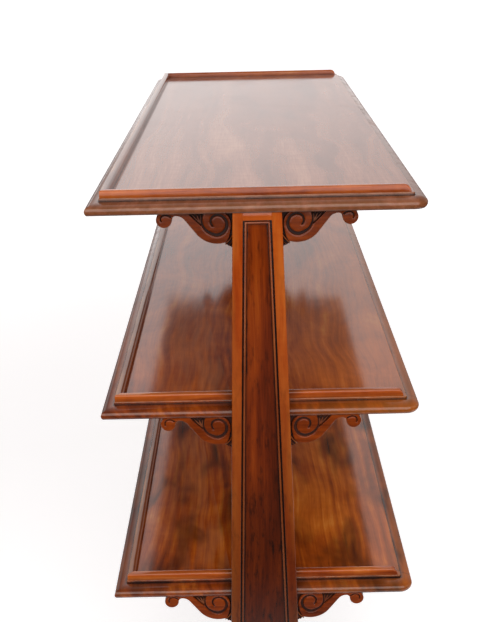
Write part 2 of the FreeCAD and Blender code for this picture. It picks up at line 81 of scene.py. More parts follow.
def camera_turn(yaw, pitch, roll):
    """The turn of a camera that looks along yaw, dips by pitch and rolls about its own axis."""
    reach = math.cos(pitch)
    forward = Vector((reach * math.cos(yaw), reach * math.sin(yaw), -math.sin(pitch)))
    right = forward.cross(Vector((0, 0, 1))).normalized()
    up = right.cross(forward)
    rolled_right = right * math.cos(roll) + up * math.sin(roll)
    rolled_up = up * math.cos(roll) - right * math.sin(roll)
    return Matrix((rolled_right, rolled_up, -forward)).transposed().to_4x4()


camera_data = bpy.data.cameras.new("camera")
camera_data.lens = CAMERA_LENS
camera_data.sensor_width = SENSOR_WIDTH
camera = add_object("camera", camera_data)
turn = camera_turn(CAMERA_YAW, CAMERA_PITCH, CAMERA_ROLL)
camera.matrix_world = Matrix.Translation(CAMERA_PLACE) @ turn
bpy.context.scene.camera = camera
print("camera at", tuple(round(value, 3) for value in camera.matrix_world.translation))

# %% [markdown]
# A material is a small network of nodes. Every node and link could be set by hand, one line for
# each. Written as arithmetic it reads like the sentence that describes the finish, so one class
# wraps an output socket: plus, minus and times add Math nodes, and `node` adds any other node
# with its settings and its inputs.

# %% Shader arithmetic


def set_stops(ramp, stops):
    """Gives a colour ramp its stops, written as (place, colour)."""
    while len(ramp.elements) < len(stops):
        ramp.elements.new(0.5)
    for element, (place, tone) in zip(ramp.elements, stops):
        element.position = place
        element.color = tone


def operation(kind, turned=False):
    """A method that joins a signal and another value by one Math node, turned for other - self."""
    def method(self, other=0.0):
        first, second = (other, self) if turned else (self, other)
        return self.node("Math", {"operation": kind}, {0: first, 1: second})
    return method


class Signal:
    """One output socket of a material's nodes, on which Python arithmetic works."""

    __add__ = __radd__ = operation("ADD")
    __mul__ = __rmul__ = operation("MULTIPLY")
    __sub__, __rsub__ = operation("SUBTRACT"), operation("SUBTRACT", turned=True)
    __abs__, most = operation("ABSOLUTE"), operation("MAXIMUM")

    def __init__(self, tree, socket=None):
        self.tree = tree
        self.socket = socket

    def node(self, kind, settings=None, inputs=None, output=0):
        """Adds a node: its settings first, then the values or links of its sockets."""
        made = self.tree.nodes.new("ShaderNode" + kind)
        for name, value in (settings or {}).items():
            if name == "stops":
                set_stops(made.color_ramp, value)
            else:
                setattr(made, name, value)
        for name, value in (inputs or {}).items():
            if isinstance(value, Signal):
                self.tree.links.new(value.socket, made.inputs[name])
            else:
                made.inputs[name].default_value = value
        return Signal(self.tree, made.outputs[output] if made.outputs else None)

    def vector(self, kind, *others, output=0):
        """Arithmetic on this vector and others. A length comes from output 1."""
        inputs = dict(enumerate((self, *others)))
        return self.node("VectorMath", {"operation": kind}, inputs, output)

    def axis(self, number):
        """The X, Y or Z of this vector, for 0, 1 or 2."""
        return self.node("SeparateXYZ", None, {"Vector": self}, number)

    def clamped(self):
        return self.node("Clamp", None, {"Value": self})

    def ramp(self, low, high):
        """0 where this value is below low, 1 where it is above high, and smooth between."""
        sockets = {"Value": self, "From Min": low, "From Max": high}
        return self.node("MapRange", {"interpolation_type": "SMOOTHSTEP"}, sockets)

    def mix(self, first, second):
        """A colour that goes from first to second as this value goes from 0 to 1."""
        return self.node("Mix", {"data_type": "RGBA"}, {0: self, 6: first, 7: second}, output=2)


def colour(code):
    """A colour written as six hex digits, as the light levels that a shader works with."""
    levels = [int(code[i:i + 2], 16) / 255 for i in (0, 2, 4)]
    linear = [v / 12.92 if v <= 0.04045 else ((v + 0.055) / 1.055) ** 2.4 for v in levels]
    return (*linear, 1.0)


def coordinates(owner, kind="Object"):
    """The coordinates that a material or world starts from, once its nodes are emptied."""
    owner.use_nodes = True
    owner.node_tree.nodes.clear()
    return Signal(owner.node_tree).node("TexCoord", output=kind)


print("half grey as a light level:", round(colour("808080")[0], 3))

# %% [markdown]
# Mahogany is cut from a solid block. Its figure could be laid on each face as a flat pattern,
# but the lines would break at every edge, so it is worked out in space. Growth rings are shells
# about the heart of the tree: the distance from a line well away from the board, bent by slow
# waves, is turned into light and dark layers. Where a flat board cuts the shells nearly level,
# the layers open into broad flames, and the board's end shows end grain without any extra work.
# Fine streaks and pores run with the grain, mottle lies across it.

# %% Layers of the wood
RING_STRETCH = 0.045
RING_BEND = 0.05
SWIRLS_PER_METRE = 3.2


def noise(place, scale=1.0, detail=3.0, roughness=0.55, distortion=0.0, output=0):
    """Soft random values from 0 to 1 at this scale; output 1 gives three of them, as a vector."""
    sockets = {
        "Vector": place, "Scale": scale, "Detail": detail,
        "Roughness": roughness, "Distortion": distortion,
    }
    return place.node("TexNoise", {"noise_dimensions": "3D"}, sockets, output)


def grained(place, along, scale, drawn_out, **settings):
    """Noise at this scale across the grain, with features drawn_out times longer along it."""
    steps = [scale, scale, scale]
    steps["xyz".index(along)] = scale / drawn_out
    return noise(place.node("Mapping", None, {"Vector": place, "Scale": steps}), **settings)


def rings(place, along, heart, spacing):
    """Light and dark growth layers: the distance from the heart line plus slow waves, made uneven.

    heart is a point of the heart line and spacing the usual width of a layer, in metres.
    """
    shrink = [1.0, 1.0, 1.0]
    shrink["xyz".index(along)] = RING_STRETCH
    distance = place.vector("SUBTRACT", heart).vector("MULTIPLY", shrink).vector("LENGTH", output=1)
    waves = grained(place, along, 5.0, 3.0, detail=2.0, roughness=0.45)
    depth = (distance + waves * RING_BEND) * (1 / spacing)
    sockets = {"W": depth, "Scale": 1.0, "Detail": 2.5}
    return depth.node("TexNoise", {"noise_dimensions": "1D"}, sockets)


def swirled(place, reach):
    """Coordinates pushed about by slow waves, up to reach metres, so that the grain wanders."""
    waves = noise(place, SWIRLS_PER_METRE, detail=1.5, output=1)
    return waves.vector("MULTIPLY_ADD", (reach, reach, reach), place)


def attribute(place, name):
    """The value that a piece carries at each of its points under this name."""
    return place.node("Attribute", {"attribute_name": name}, output=2)


print("slow waves bend the growth layers by up to", RING_BEND / MM, "mm")

# %% [markdown]
# French polish lies over the wood as a clear glassy film, never quite even: it is cloudy in
# places, and dull where wax and dirt have settled. Attributes that the pieces carry say where
# dirt and painted shade lie in corners, grooves and under edges, where edges are rubbed pale and
# carry a painted highlight, and where an edge is moulded.
# Painted masks could say that too, but the attributes come from the functions that draw the
# shape, so they follow its grooves exactly. Each feature of the wood has its scale: how many
# there are in a metre across the grain, and how many times longer they are along it.

# %% Mahogany
GRAIN, STREAKS, PORES = (130.0, 24.0), (520.0, 40.0), (1300.0, 40.0)
FLECKS, DARK_CLOUDS, MOTTLE = (110.0, 4.0), (15.0, 2.6), (26.0, 0.35)
MOULDED_PATCHES, WEAR_AND_HIGHLIGHT_PATCHES = (60.0, 6.0), (55.0, 7.0)
CLOUDS_PER_METRE = 7.5
RING_SHARE, CLOUD_SHARE, GRAIN_SHARE, STREAK_SHARE, BASE_SHARE = 0.22, 0.50, 0.16, 0.12, 0.14
TONE_PLACES = (0.38, 0.47, 0.56, 0.66)
OPEN_FRONT = (-0.25, 0.03)
UNDER_THE_TOP = (0.85, 0.95)
# The colour that dirt and painted shade darken the wood towards.
SHADE_AND_DIRT_TONE = colour("280e06")


def mahogany(name, along, tones, heart=(0, 0, -0.4), spacing=0.009, swirl=0.035, cut=(0, 0, 0),
             flow=2.4, mottle=0.1, fine=1.0, flecks=0.0, clouded=0.0, floor_shade=0.0,
             fade=(0.10, 0.98), under_top_shade=0.0, front_light=0.0, moulding=None, pale=None, shade_and_dirt_lines=None,
             dull=0.15, gloss=0.07, ior=1.5):
    """Polished mahogany with its grain along one axis.

    tones: its dark, middle, light and brightest colours.
    heart, spacing: where the tree's heart line runs, and how wide a growth layer is.
    swirl, cut: how far the grain wanders, and where in the log this piece was cut.
    flow: how far its clouds are drawn out along the grain.
    mottle, fine, flecks, clouded: how strong the mottle across the grain, the fine grain, the
        dark flecks and the broad dark clouds are.
    floor_shade, fade: how far a painted shade darkens it towards the floor, and between which
        heights.
    under_top_shade, front_light: how dark a painted shade makes it right under the top, and how
        much paler painted light makes it at the open front.
    moulding, pale: the colours of its moulded edges, and of its rubbed edges, which also carry a
        painted highlight.
    shade_and_dirt_lines, dull: a function that gives lines of dirt and painted shade, and how
        rough these are.
    gloss, ior: how rough the polish is, and how strongly it mirrors.
    """
    material = bpy.data.materials.new(name)
    place = coordinates(material)
    tones = [colour(code) for code in tones]
    bright = tones[-1]

    in_log = place.vector("ADD", cut)
    wandering = swirled(in_log, swirl)
    layers = rings(wandering, along, heart, spacing)
    cloud = grained(wandering, along, CLOUDS_PER_METRE, flow, detail=4.0, distortion=1.2)
    grain = grained(wandering, along, *GRAIN, detail=3.0, roughness=0.6, distortion=0.3)
    streak = grained(wandering, along, *STREAKS, detail=2.0, roughness=0.6)
    across = grained(place, along, *MOTTLE, detail=2.0)
    pores = grained(place, along, *PORES, detail=1.0).ramp(0.62, 0.72)

    lines = (grain - 0.5) * GRAIN_SHARE + (streak - 0.5) * STREAK_SHARE
    figure = layers * RING_SHARE + cloud * CLOUD_SHARE + BASE_SHARE
    figure = figure + lines * fine + (across - 0.5) * mottle
    wood = figure.node("ValToRGB", {"stops": list(zip(TONE_PLACES, tones))}, {"Fac": figure})

    if moulding:
        patches = grained(in_log, along, *MOULDED_PATCHES, detail=4.0).ramp(0.3, 0.7)
        wood = (attribute(place, "moulded") * (0.35 + patches * 0.5)).mix(wood, colour(moulding))
    # Painted light: the wood turns paler towards the open front, where more light falls.
    if front_light:
        wood = ((1.0 - place.axis(1).ramp(*OPEN_FRONT)) * front_light).mix(wood, bright)
    uneven = noise(place, 40.0, detail=3.0)
    # Dirt and painted shade, from the piece's attributes and from the given lines.
    shade_and_dirt = attribute(place, "grime")
    if shade_and_dirt_lines:
        shade_and_dirt = shade_and_dirt.most(shade_and_dirt_lines(place))
    shade_and_dirt = (shade_and_dirt * (0.55 + uneven * 0.9)).clamped()
    # Rubbed edges turn pale: partly wear, partly a painted highlight.
    wear_and_highlight_patches = grained(place, along, *WEAR_AND_HIGHLIGHT_PATCHES, detail=1.0).ramp(0.25, 0.65)
    rubbed_and_highlit = (attribute(place, "wear") * wear_and_highlight_patches * 0.85).clamped()
    wood = rubbed_and_highlit.mix(wood, colour(pale) if pale else bright)

    shade = shade_and_dirt * 0.94 + pores * 0.10
    if flecks:
        marks = grained(wandering, along, *FLECKS, detail=4.0, roughness=0.65).ramp(0.48, 0.74)
        shade = shade + marks * flecks
    if clouded:
        clouds = grained(wandering, along, *DARK_CLOUDS, detail=2.0, roughness=0.5, distortion=0.5)
        shade = shade + clouds.ramp(0.42, 0.72) * (0.5 + layers) * clouded
    # Painted shade: the wood darkens towards the floor, and right under the top.
    if floor_shade or under_top_shade:
        height = place.axis(2)
        shade = shade + (1.0 - height.ramp(*fade)) * floor_shade + height.ramp(*UNDER_THE_TOP) * under_top_shade
    wood = shade.clamped().mix(wood, SHADE_AND_DIRT_TONE)

    smear = noise(place, 11.0, detail=4.0)
    rough = gloss + smear.ramp(0.35, 0.8) * 0.05 + shade_and_dirt * dull + rubbed_and_highlit * 0.06
    if moulding:
        rough = rough + attribute(place, "moulded") * uneven.ramp(0.4, 0.7) * 0.14
    relief = streak * 0.35 + (1.0 - pores) * 0.4 + noise(place, 2.6, detail=1.0) * 12.0
    bump = {"Strength": 0.3, "Distance": 0.04 * MM, "Height": relief}
    normal = place.node("Bump", None, bump)
    polished = place.node("BsdfPrincipled", None, {
        "Base Color": wood, "Roughness": rough, "IOR": ior, "Normal": normal,
    })
    polished.node("OutputMaterial", None, {"Surface": polished})
    return material


print("mahogany is mixed from tones at", TONE_PLACES)

# %% [markdown]
# The tops are darker in a line inside the gallery rails: dirt where a cloth doesn't reach, and
# painted shade. Painted shade also lies in a haze along the back of each tier and beside the
# standards, and painted light makes the lower boards paler at the open front. Boards, rails,
# standards, carving and feet could share one wood, but each was cut from another plank, so each
# has its own tones. That also shows where one piece ends and the next begins.

# %% The woods
RAIL_INNER = 34.1 * MM
CORNER_LINE = 3 * MM
EDGE = 2 * MM
tier_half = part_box("middle_board")[1].x - RAIL_INNER
top_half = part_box("top_board")[1].x - RAIL_INNER
rail_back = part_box("top_board")[1].y - RAIL_INNER


def standard_shade(place):
    """Painted shade on the ends of the two lower tiers, fading out over 26 mm beside the standard.
    """
    beside = 1.0 - abs(place.axis(1)).ramp(50 * MM, 76 * MM)
    return beside * (1.0 - place.axis(2).ramp(0.95, 0.97)) * 0.5


def rail_corner_shade_and_dirt(half_length, back_shade):
    """Darkens a board's top: a line of dirt and painted shade inside the rails, painted shade at
    the back.
    """
    def made(place):
        x, y = place.axis(0), place.axis(1)
        beyond = abs(x).ramp(half_length, half_length + EDGE)
        inside = (1.0 - beyond) * (1.0 - y.ramp(rail_back, rail_back + EDGE))
        line = abs(x).ramp(half_length - CORNER_LINE, half_length)
        line = line.most(y.ramp(rail_back - CORNER_LINE, rail_back)) * 0.4
        near_end = 1.0 - x.ramp(-half_length, 0.1) * 0.6
        shaded_back = y.ramp(rail_back - 150 * MM, rail_back + 20 * MM) * near_end * back_shade
        return (line.most(shaded_back) * inside).most(standard_shade(place) * beyond)
    return made


FACING_TONES = ("822b07", "a03d0c", "b44c13", "c86824")
# The boards' tops carry dirt and painted shade inside the rails, and painted shade at the back.
tier_board = {
    "heart": (0.2, 0.07, 0.45), "spacing": 0.008, "shade_and_dirt_lines": rail_corner_shade_and_dirt(tier_half, 0.22),
    "pale": "b9835c", "moulding": "5e2812", "cut": (0.9, -1.9, 2.2), "fine": 0.7,
    "mottle": 0.04, "gloss": 0.09,
}
# Painted light makes the two lower boards paler towards the open front.
board_wood = mahogany("board_wood", "x", ("6a2406", "a2440e", "c86018", "e08832"),
                      front_light=0.25, **tier_board)
lower_board_wood = mahogany("lower_board_wood", "x", ("722a06", "aa480e", "d06a1c", "e8903a"),
                            front_light=0.15, clouded=0.75, **tier_board)
top_board_wood = mahogany("top_board_wood", "x", ("7e452e", "99593e", "b06d4e", "c98a66"),
                          heart=(-0.2, -0.05, 0.75), spacing=0.010, gloss=0.10, flow=9.0,
                          shade_and_dirt_lines=rail_corner_shade_and_dirt(top_half, 0.1), pale="b98d6c",
                          moulding="784422")
rail_long_wood = mahogany("rail_long_wood", "x", ("5a2610", "70361a", "844424", "9a5834"),
                          heart=(0, 0.1, 0.3), pale="cc9068", flow=9.0)
# Painted shade lies on the lower tiers' end rails beside the standards.
rail_end_wood = mahogany("rail_end_wood", "y", ("8c360a", "b04e14", "c8621e", "da7e3a"),
                         heart=(-0.6, 0, 0.3), pale="c88458", shade_and_dirt_lines=standard_shade)
# Painted shade darkens the standards' woods towards the floor.
stile_wood = mahogany("stile_wood", "z", FACING_TONES, heart=(-0.3, 0.12, 0.5), floor_shade=0.68,
                      fade=(0.2, 1.02), mottle=0.1, flow=5.0, flecks=0.2)
cross_wood = mahogany("cross_wood", "y", FACING_TONES, heart=(-0.3, 0.0, 0.9), floor_shade=0.5,
                      mottle=0.16)
panel_wood = mahogany("panel_wood", "z", ("421604", "672307", "8a360a", "a84e13"),
                      heart=(-0.45, 0.05, 0.5), spacing=0.006, floor_shade=0.45, fade=(0.42, 0.68),
                      mottle=0.0, flow=5.0, swirl=0.02, flecks=0.6)
bead_wood = mahogany("bead_wood", "z", ("5a200a", "783214", "904418", "a45628"), floor_shade=0.4,
                     gloss=0.2)
# Painted shade darkens the carving right under the top.
carved_wood = mahogany("carved_wood", "y", ("521c05", "742c08", "8e3a0c", "a64c18"),
                       heart=(-0.7, 0, 0.2), gloss=0.18, pale="a8643c", dull=0.5, under_top_shade=0.25,
                       ior=1.36)
foot_wood = mahogany("foot_wood", "y", ("5a2510", "7c3a18", "96491f", "ad5f30"),
                     heart=(-0.5, 0, -0.2), gloss=0.22, pale="b0703c")
print("woods mixed for the boards, rails, standards, carving and feet")

# %% [markdown]
# The castors are old brass: yellow metal with a brown film that is thicker in its hollows and
# rubbed off where a hand or the floor touches it. The axles are plain worn steel. One even
# colour would look like paint, so the film comes in clouds. Brass and steel differ only in
# colour and roughness, so one function makes both.

# %% Brass and steel


def old_metal(name, bright, dull, rough):
    """Metal with a cloudy film: bright where it is rubbed, dull elsewhere."""
    material = bpy.data.materials.new(name)
    place = coordinates(material)
    film = noise(place, 120.0, detail=5.0, roughness=0.65).ramp(0.35, 0.7)
    grime = attribute(place, "grime")
    scratch = grained(place, "z", 900.0, 15.0, detail=2.0)
    tint = film.mix(colour(bright), colour(dull))
    tint = (grime * 0.7).mix(tint, colour("1c140a"))
    bump = {"Strength": 0.3, "Distance": 0.05 * MM, "Height": scratch + film}
    metal = place.node("BsdfPrincipled", None, {
        "Base Color": tint, "Metallic": 1.0 - grime * 0.4,
        "Roughness": rough + film * 0.18 + grime * 0.2, "Normal": place.node("Bump", None, bump),
    })
    metal.node("OutputMaterial", None, {"Surface": metal})
    return material


castor_brass = old_metal("castor_brass", "c9a45a", "8a6b35", 0.26)
axle_steel = old_metal("axle_steel", "a8a39a", "6e6860", 0.34)
print("metal materials made")

# %% [markdown]
# Every piece of the frame gets the finish of its slot. Each could be named with its finish, but
# the slots are few and the pieces many. The cells below put finer shapes in the place of nearly
# all of them. Only the dowels, which nobody sees, keep their own shape.

# %% Finishes on the frame's own pieces
finish_of_slot = {
    "polished_board": board_wood, "polished_moulding": stile_wood, "panel_veneer": panel_wood,
    "bead_moulding": bead_wood, "carved_wood": carved_wood, "dowel_wood": foot_wood,
    "castor_brass": castor_brass, "axle_steel": axle_steel,
}
for name, node in frame["nodes"].items():
    node.data.materials.clear()
    node.data.materials.append(finish_of_slot[slot_of[name]])
print(len(frame["nodes"]), "frame pieces finished")

# %% [markdown]
# New pieces could be boxes finished with modifiers. They are surfaces on a grid of points
# instead, because a grid follows a drawn section exactly and can hold a value at each point. A
# section is carried along a path, and each step of the path gives one row of the grid. One
# helper joins neighbouring rows with four-sided faces. Another adds up the volume under the
# faces: if it is negative the faces look inwards, and all are turned round. A third makes the
# mesh, which carries its dirt and painted shade, and its wear and painted highlights with it, and
# a fourth the object.

# %% From points to pieces
SHARP_ANGLE = math.radians(32)
MERGE_REACH = 0.01 * MM
SLIVER_EDGE = 0.002 * MM


def grid_faces(rows, columns, close_rows=False, close_columns=False):
    """Four-sided faces between the points of a grid, row by row, as a list of point numbers."""
    numbers = np.arange(rows * columns).reshape(rows, columns)
    if close_rows:
        numbers = np.vstack([numbers, numbers[:1]])
    if close_columns:
        numbers = np.hstack([numbers, numbers[:, :1]])
    here, right = numbers[:-1, :-1], numbers[:-1, 1:]
    below, across = numbers[1:, :-1], numbers[1:, 1:]
    return np.stack([here, below, across, right], axis=-1).reshape(-1, 4).tolist()


def volume_under(points, faces):
    """Six times the signed volume: a . (b x c) over triangles that fan out from a corner."""
    batches = [[face for face in faces if len(face) == 4]]
    batches += [[face] for face in faces if len(face) != 4]
    total = 0.0
    for batch in filter(None, batches):
        ring = points[np.array(batch)]
        total += float(np.sum(ring[:, :1] * np.cross(ring[:, 1:-1], ring[:, 2:])))
    return total


def smoothed(mesh, sharp):
    """Shades a mesh smooth, apart from edges sharper than an angle."""
    mesh.polygons.foreach_set("use_smooth", np.ones(len(mesh.polygons), bool))
    mesh.set_sharp_from_angle(angle=sharp)
    mesh.update()
    return mesh


def shape(name, points, faces, grime=None, wear=None, moulded=None, sharp=SHARP_ANGLE,
          merge=False, slivers=False):
    """A mesh whose faces look outwards, with its dirt and painted shade, its wear and painted
    highlights, and where it is moulded.

    Values given for one section repeat for all. merge joins points that lie in one place, and
    slivers then takes out faces without area.
    """
    if volume_under(points, faces) < 0:
        faces = [face[::-1] for face in faces]
    mesh = bpy.data.meshes.new(name)
    mesh.from_pydata(points.tolist(), [], faces)
    for label, values in (("grime", grime), ("wear", wear), ("moulded", moulded)):
        if values is not None:
            layer = mesh.attributes.new(label, "FLOAT", "POINT")
            layer.data.foreach_set("value", np.resize(values, len(points)).astype(np.float32))
    if merge:
        work = bmesh.new()
        work.from_mesh(mesh)
        bmesh.ops.remove_doubles(work, verts=work.verts, dist=MERGE_REACH)
        if slivers:
            bmesh.ops.dissolve_degenerate(work, edges=work.edges, dist=SLIVER_EDGE)
        work.to_mesh(mesh)
        work.free()
    return smoothed(mesh, sharp)


def piece(node, ending, mesh, material, body="cabinet"):
    """An object that rides on a body, stands for one node of the frame and takes the given
    material.
    """
    mesh.materials.append(material)
    made = add_object(node + ending, mesh)
    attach(made, body)
    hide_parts(node)
    return made


print("a grid of 4 by 3 points has", len(grid_faces(4, 3)), "faces")

# %% [markdown]
# A tube is the simplest such surface: closed sections in a row, with a flat face over each end.
# Rails, stiles, cores and feet are tubes, and most have a rectangle with rounded corners as their
# section. A box with bevelled edges could do for a straight rail, but a tube can also taper, be
# mitred, or be rounded down at one end.

# %% Tubes


def tube(sections):
    """Points and faces of closed sections joined in a row, with the first and last closed off."""
    rows, columns = sections.shape[:2]
    faces = grid_faces(rows, columns, close_columns=True)
    faces.append(list(range(columns)))
    faces.append([(rows - 1) * columns + i for i in reversed(range(columns))])
    return sections.reshape(-1, 3), faces


def tube_piece(node, ending, sections, material, grime, wear=None):
    """A tube that stands for one node of the frame."""
    piece(node, ending, shape(node, *tube(sections), grime, wear), material)


def rounded_rectangle(width, height, radii, steps=5):
    """Corner arcs of a rectangle from (0, 0) to (width, height), starting at the lower left.

    Each corner is a quarter circle of its own radius: centre plus radius times cosine and sine.
    """
    corners = [(0, 0, 1, 1), (width, 0, -1, 1), (width, height, -1, -1), (0, height, 1, -1)]
    points = []
    for quarter, ((x, y, inward_x, inward_y), radius) in enumerate(zip(corners, radii)):
        angle = np.pi + quarter * np.pi / 2 + np.linspace(0, np.pi / 2, steps)
        x = x + inward_x * radius + radius * np.cos(angle)
        y = y + inward_y * radius + radius * np.sin(angle)
        points.append(np.column_stack([x, y]))
    return np.concatenate(points)


print("a rounded section has", len(rounded_rectangle(2, 1, (0.1,) * 4)), "points")

# %% [markdown]
# The tier boards carry a moulding on all four edges: a rounded lower edge, a flat egg-shaped
# round above the widest line, a small sunk step, and a soft arris round the top. The moulding
# is one column of points. It is carried round the board's plan: mitred at the two back corners,
# swung round a quarter circle at the two front ones, and pressed flat against the standards
# where a board is notched for them. A bevel could shape the edge of a box, but it would run on
# into the notches, where the board has to fit.

# %% Board moulding
UNDERSIDE_INSET = 3.0 * MM
WIDEST_HEIGHT = 7.0 * MM
OVOLO_WIDTH = 18.9 * MM
OVOLO_HEIGHT = 10.4 * MM
NOSE_RADIUS = 6.5 * MM
QUIRK = 0.8 * MM
ARRIS = 1.4 * MM
LEVEL_RUN = 1.0 * MM
FRONT_RADIUS = 23.0 * MM


def arc_points(centre, start, end, count):
    """Points on a circle about centre from start to end, by the shorter way."""
    first = math.atan2(start[1] - centre[1], start[0] - centre[0])
    turn = math.atan2(end[1] - centre[1], end[0] - centre[0]) - first
    turn = (turn + math.pi) % (2 * math.pi) - math.pi
    radius = math.hypot(start[0] - centre[0], start[1] - centre[1])
    angle = first + turn * np.linspace(0, 1, count)
    return np.column_stack([centre[0] + radius * np.cos(angle), centre[1] + radius * np.sin(angle)])


def moulding_column(thickness):
    """The edge from underside to top, as (inset, height, painted shade and grime,
    wear and painted highlight, moulded).

    The lower edge is an arc that is upright at the widest line. Above it a small nose and a
    large flank meet where their centres and the meeting point are in one line.
    """
    lower_radius = (UNDERSIDE_INSET ** 2 + WIDEST_HEIGHT ** 2) / (2 * UNDERSIDE_INSET)
    widest = (0.0, WIDEST_HEIGHT)
    lower = arc_points((lower_radius, WIDEST_HEIGHT), (UNDERSIDE_INSET, 0.0), widest, 7)
    lower = np.concatenate([[(UNDERSIDE_INSET + LEVEL_RUN, 0.0)], lower])
    top = (OVOLO_WIDTH, WIDEST_HEIGHT + OVOLO_HEIGHT)
    run = OVOLO_WIDTH - NOSE_RADIUS
    large = (run ** 2 + OVOLO_HEIGHT ** 2 - NOSE_RADIUS ** 2) / (2 * (OVOLO_HEIGHT - NOSE_RADIUS))
    nose_centre = np.array([NOSE_RADIUS, WIDEST_HEIGHT])
    large_centre = np.array([OVOLO_WIDTH, top[1] - large])
    away = (nose_centre - large_centre) / np.linalg.norm(nose_centre - large_centre)
    meeting = nose_centre + away * NOSE_RADIUS
    nose = arc_points(nose_centre, widest, meeting, 9)[1:]
    flank = arc_points(large_centre, meeting, top, 9)[1:]
    foot = top[0] + QUIRK
    step = np.array([(top[0], top[1] - QUIRK), (foot, top[1] - QUIRK), (foot, top[1] + QUIRK)])
    arris = arc_points((foot + ARRIS, thickness - ARRIS), (foot, thickness - ARRIS),
                       (foot + ARRIS, thickness), 6)
    level = np.array([(foot + ARRIS + LEVEL_RUN, thickness)])
    path = np.concatenate([lower, nose, flank, step, arris, level])
    grime, wear, moulded = np.zeros(len(path)), np.zeros(len(path)), np.ones(len(path))
    at_step = len(lower) + len(nose) + len(flank)
    # Painted shade and grime under the edge and in the sunk step; wear with a painted highlight on
    # the nose and the top arris.
    grime[:4] = (0.8, 0.8, 0.5, 0.2)
    grime[at_step - 2:at_step + 4] = (0.25, 0.7, 1.0, 1.0, 0.8, 0.2)
    wear[len(lower) + 1:len(lower) + 7] = (0.1, 0.2, 0.3, 0.3, 0.2, 0.1)
    wear[-5:] = (0.4, 0.8, 0.8, 0.4, 0.0)
    moulded[-5:] = (0.8, 0.5, 0.2, 0.0, 0.0)
    return np.column_stack([path, grime, wear, moulded])


print("moulding column of", len(moulding_column(22.0 * MM)), "points")

# %% [markdown]
# The standards taper, so the notch in a board is a hair wider at its underside than at its top.
# It could be cut out of a finished board, but such cuts leave thin stray faces in a moulding, so
# it is part of the plan. One function gives half the standard's width at any height, and the
# boards, brackets and standards all use it.

# %% Boards
STANDARD_TOP_WIDTH = 73.2 * MM
STANDARD_SLOPE = 0.0285
CORNER_STEPS = 13
top_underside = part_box("top_board")[0].z
stile_low, stile_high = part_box("left_standard_back_stile")
facing_x, panel_x, foot_top = stile_low.x, stile_high.x, stile_low.z
inner_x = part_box("left_standard_core")[1].x


def half_width(z):
    """Half a standard's width: half its top width plus the slope times the depth below the top."""
    return STANDARD_TOP_WIDTH / 2 + STANDARD_SLOPE * (top_underside - z)


def board_stations(length, depth, notched):
    """A board's plan as stations of (x, y, inward x, inward y), counterclockwise from above.

    At a notch the inward step is zero, so the moulding is pressed flat there, and y is a word
    that stands for the side of the standard.
    """
    x, y, r = length / 2, depth / 2, FRONT_RADIUS
    left = [(-x, y, 1, -1)]
    if notched:
        left += [(-x, "back", 1, 0), (inner_x, "back", 0, 0)]
        left += [(inner_x, "front", 0, 0), (-x, "front", 1, 0)]
    for angle in np.linspace(np.pi, 1.5 * np.pi, CORNER_STEPS):
        across, along = math.cos(angle), math.sin(angle)
        left.append((r - x + r * across, r - y + r * along, -across, -along))
    return left + [(-sx, sy, -ix, iy) for sx, sy, ix, iy in reversed(left)]


def board(name, material, notched):
    """A tier board: each station of its plan carries one moulding column."""
    low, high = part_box(name)
    column = moulding_column(high.z - low.z)
    heights = low.z + column[:, 1]
    sides = {"back": half_width(heights), "front": -half_width(heights)}
    rows = []
    for sx, sy, ix, iy in board_stations(high.x - low.x, high.y - low.y, notched):
        across = sides[sy] if isinstance(sy, str) else sy + iy * column[:, 0]
        rows.append(np.column_stack([sx + ix * column[:, 0], across + 0 * heights, heights]))
    count, size = len(rows), len(column)
    faces = grid_faces(count, size, close_rows=True)
    faces.append([i * size + size - 1 for i in range(count)])
    faces.append([i * size for i in reversed(range(count))])
    mesh = shape(name, np.concatenate(rows), faces, *column[:, 2:].T, merge=True, slivers=True)
    piece(name, "_moulded", mesh, material)
    print(name, len(faces), "faces")


board("top_board", top_board_wood, notched=False)
board("middle_board", board_wood, notched=True)
board("lower_board", lower_board_wood, notched=True)

# %% [markdown]
# A low gallery rail is a strip with a soft outer arris and a rounded inner one, let into the
# board and mitred at the back corners. In front it is rounded down to the board. The end rails
# of the two lower tiers stop against the standard on each side. One strip bent round three sides
# would be quicker, but each rail was cut and fitted by itself, and is a piece of its own here.

# %% Gallery rails
RAIL_ARRIS = 2.5 * MM
RAIL_ROUND = 4.6 * MM
RAIL_HOUSING = 2.0 * MM
FOOT_ROUND = 0.2 * MM
LONG_STEPS, END_STEPS, ROUND_STEPS = 40, 24, 10
# The outer arris is worn pale, and on the long rails it also carries a painted highlight.
LONG_WEAR_AND_HIGHLIGHT, END_WEAR_AND_HIGHLIGHT = 1.8, 0.45
rail_low, rail_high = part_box("top_back_rail")
rail_thickness = rail_high.y - rail_low.y
rail_rise = rail_high.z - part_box("top_board")[1].z


def smooth01(value):
    """0 below 0, 1 above 1, and a smooth S between: three squares less two cubes."""
    t = np.clip(value, 0, 1)
    return t * t * (3 - 2 * t)


def rail_section():
    """The rail's section as (across from the outer face, height above the board)."""
    radii = (FOOT_ROUND, FOOT_ROUND, RAIL_ROUND, RAIL_ARRIS)
    corners = rounded_rectangle(rail_thickness, rail_rise + RAIL_HOUSING, radii, steps=6)
    return (corners - (0, RAIL_HOUSING)).T


def place_rail(node, rows, material, rubbed_and_highlit):
    """Makes a rail from its sections: painted shade and dirt at its foot, its outer arris most
    worn, with a painted highlight.
    """
    across, height = rail_section()
    # Painted shade and dirt at the rail's foot; wear and a painted highlight along its outer arris.
    grime = np.clip(1 - height / (0.8 * MM), 0, 1) * 0.6
    outer = 1 - smooth01((across - 1.2 * MM) / (2.8 * MM))
    wear = rubbed_and_highlit * outer * np.clip((height - rail_rise + RAIL_ARRIS) / RAIL_ARRIS, 0, 1)
    tube_piece(node, "_gallery", np.array(rows), material, grime, wear)


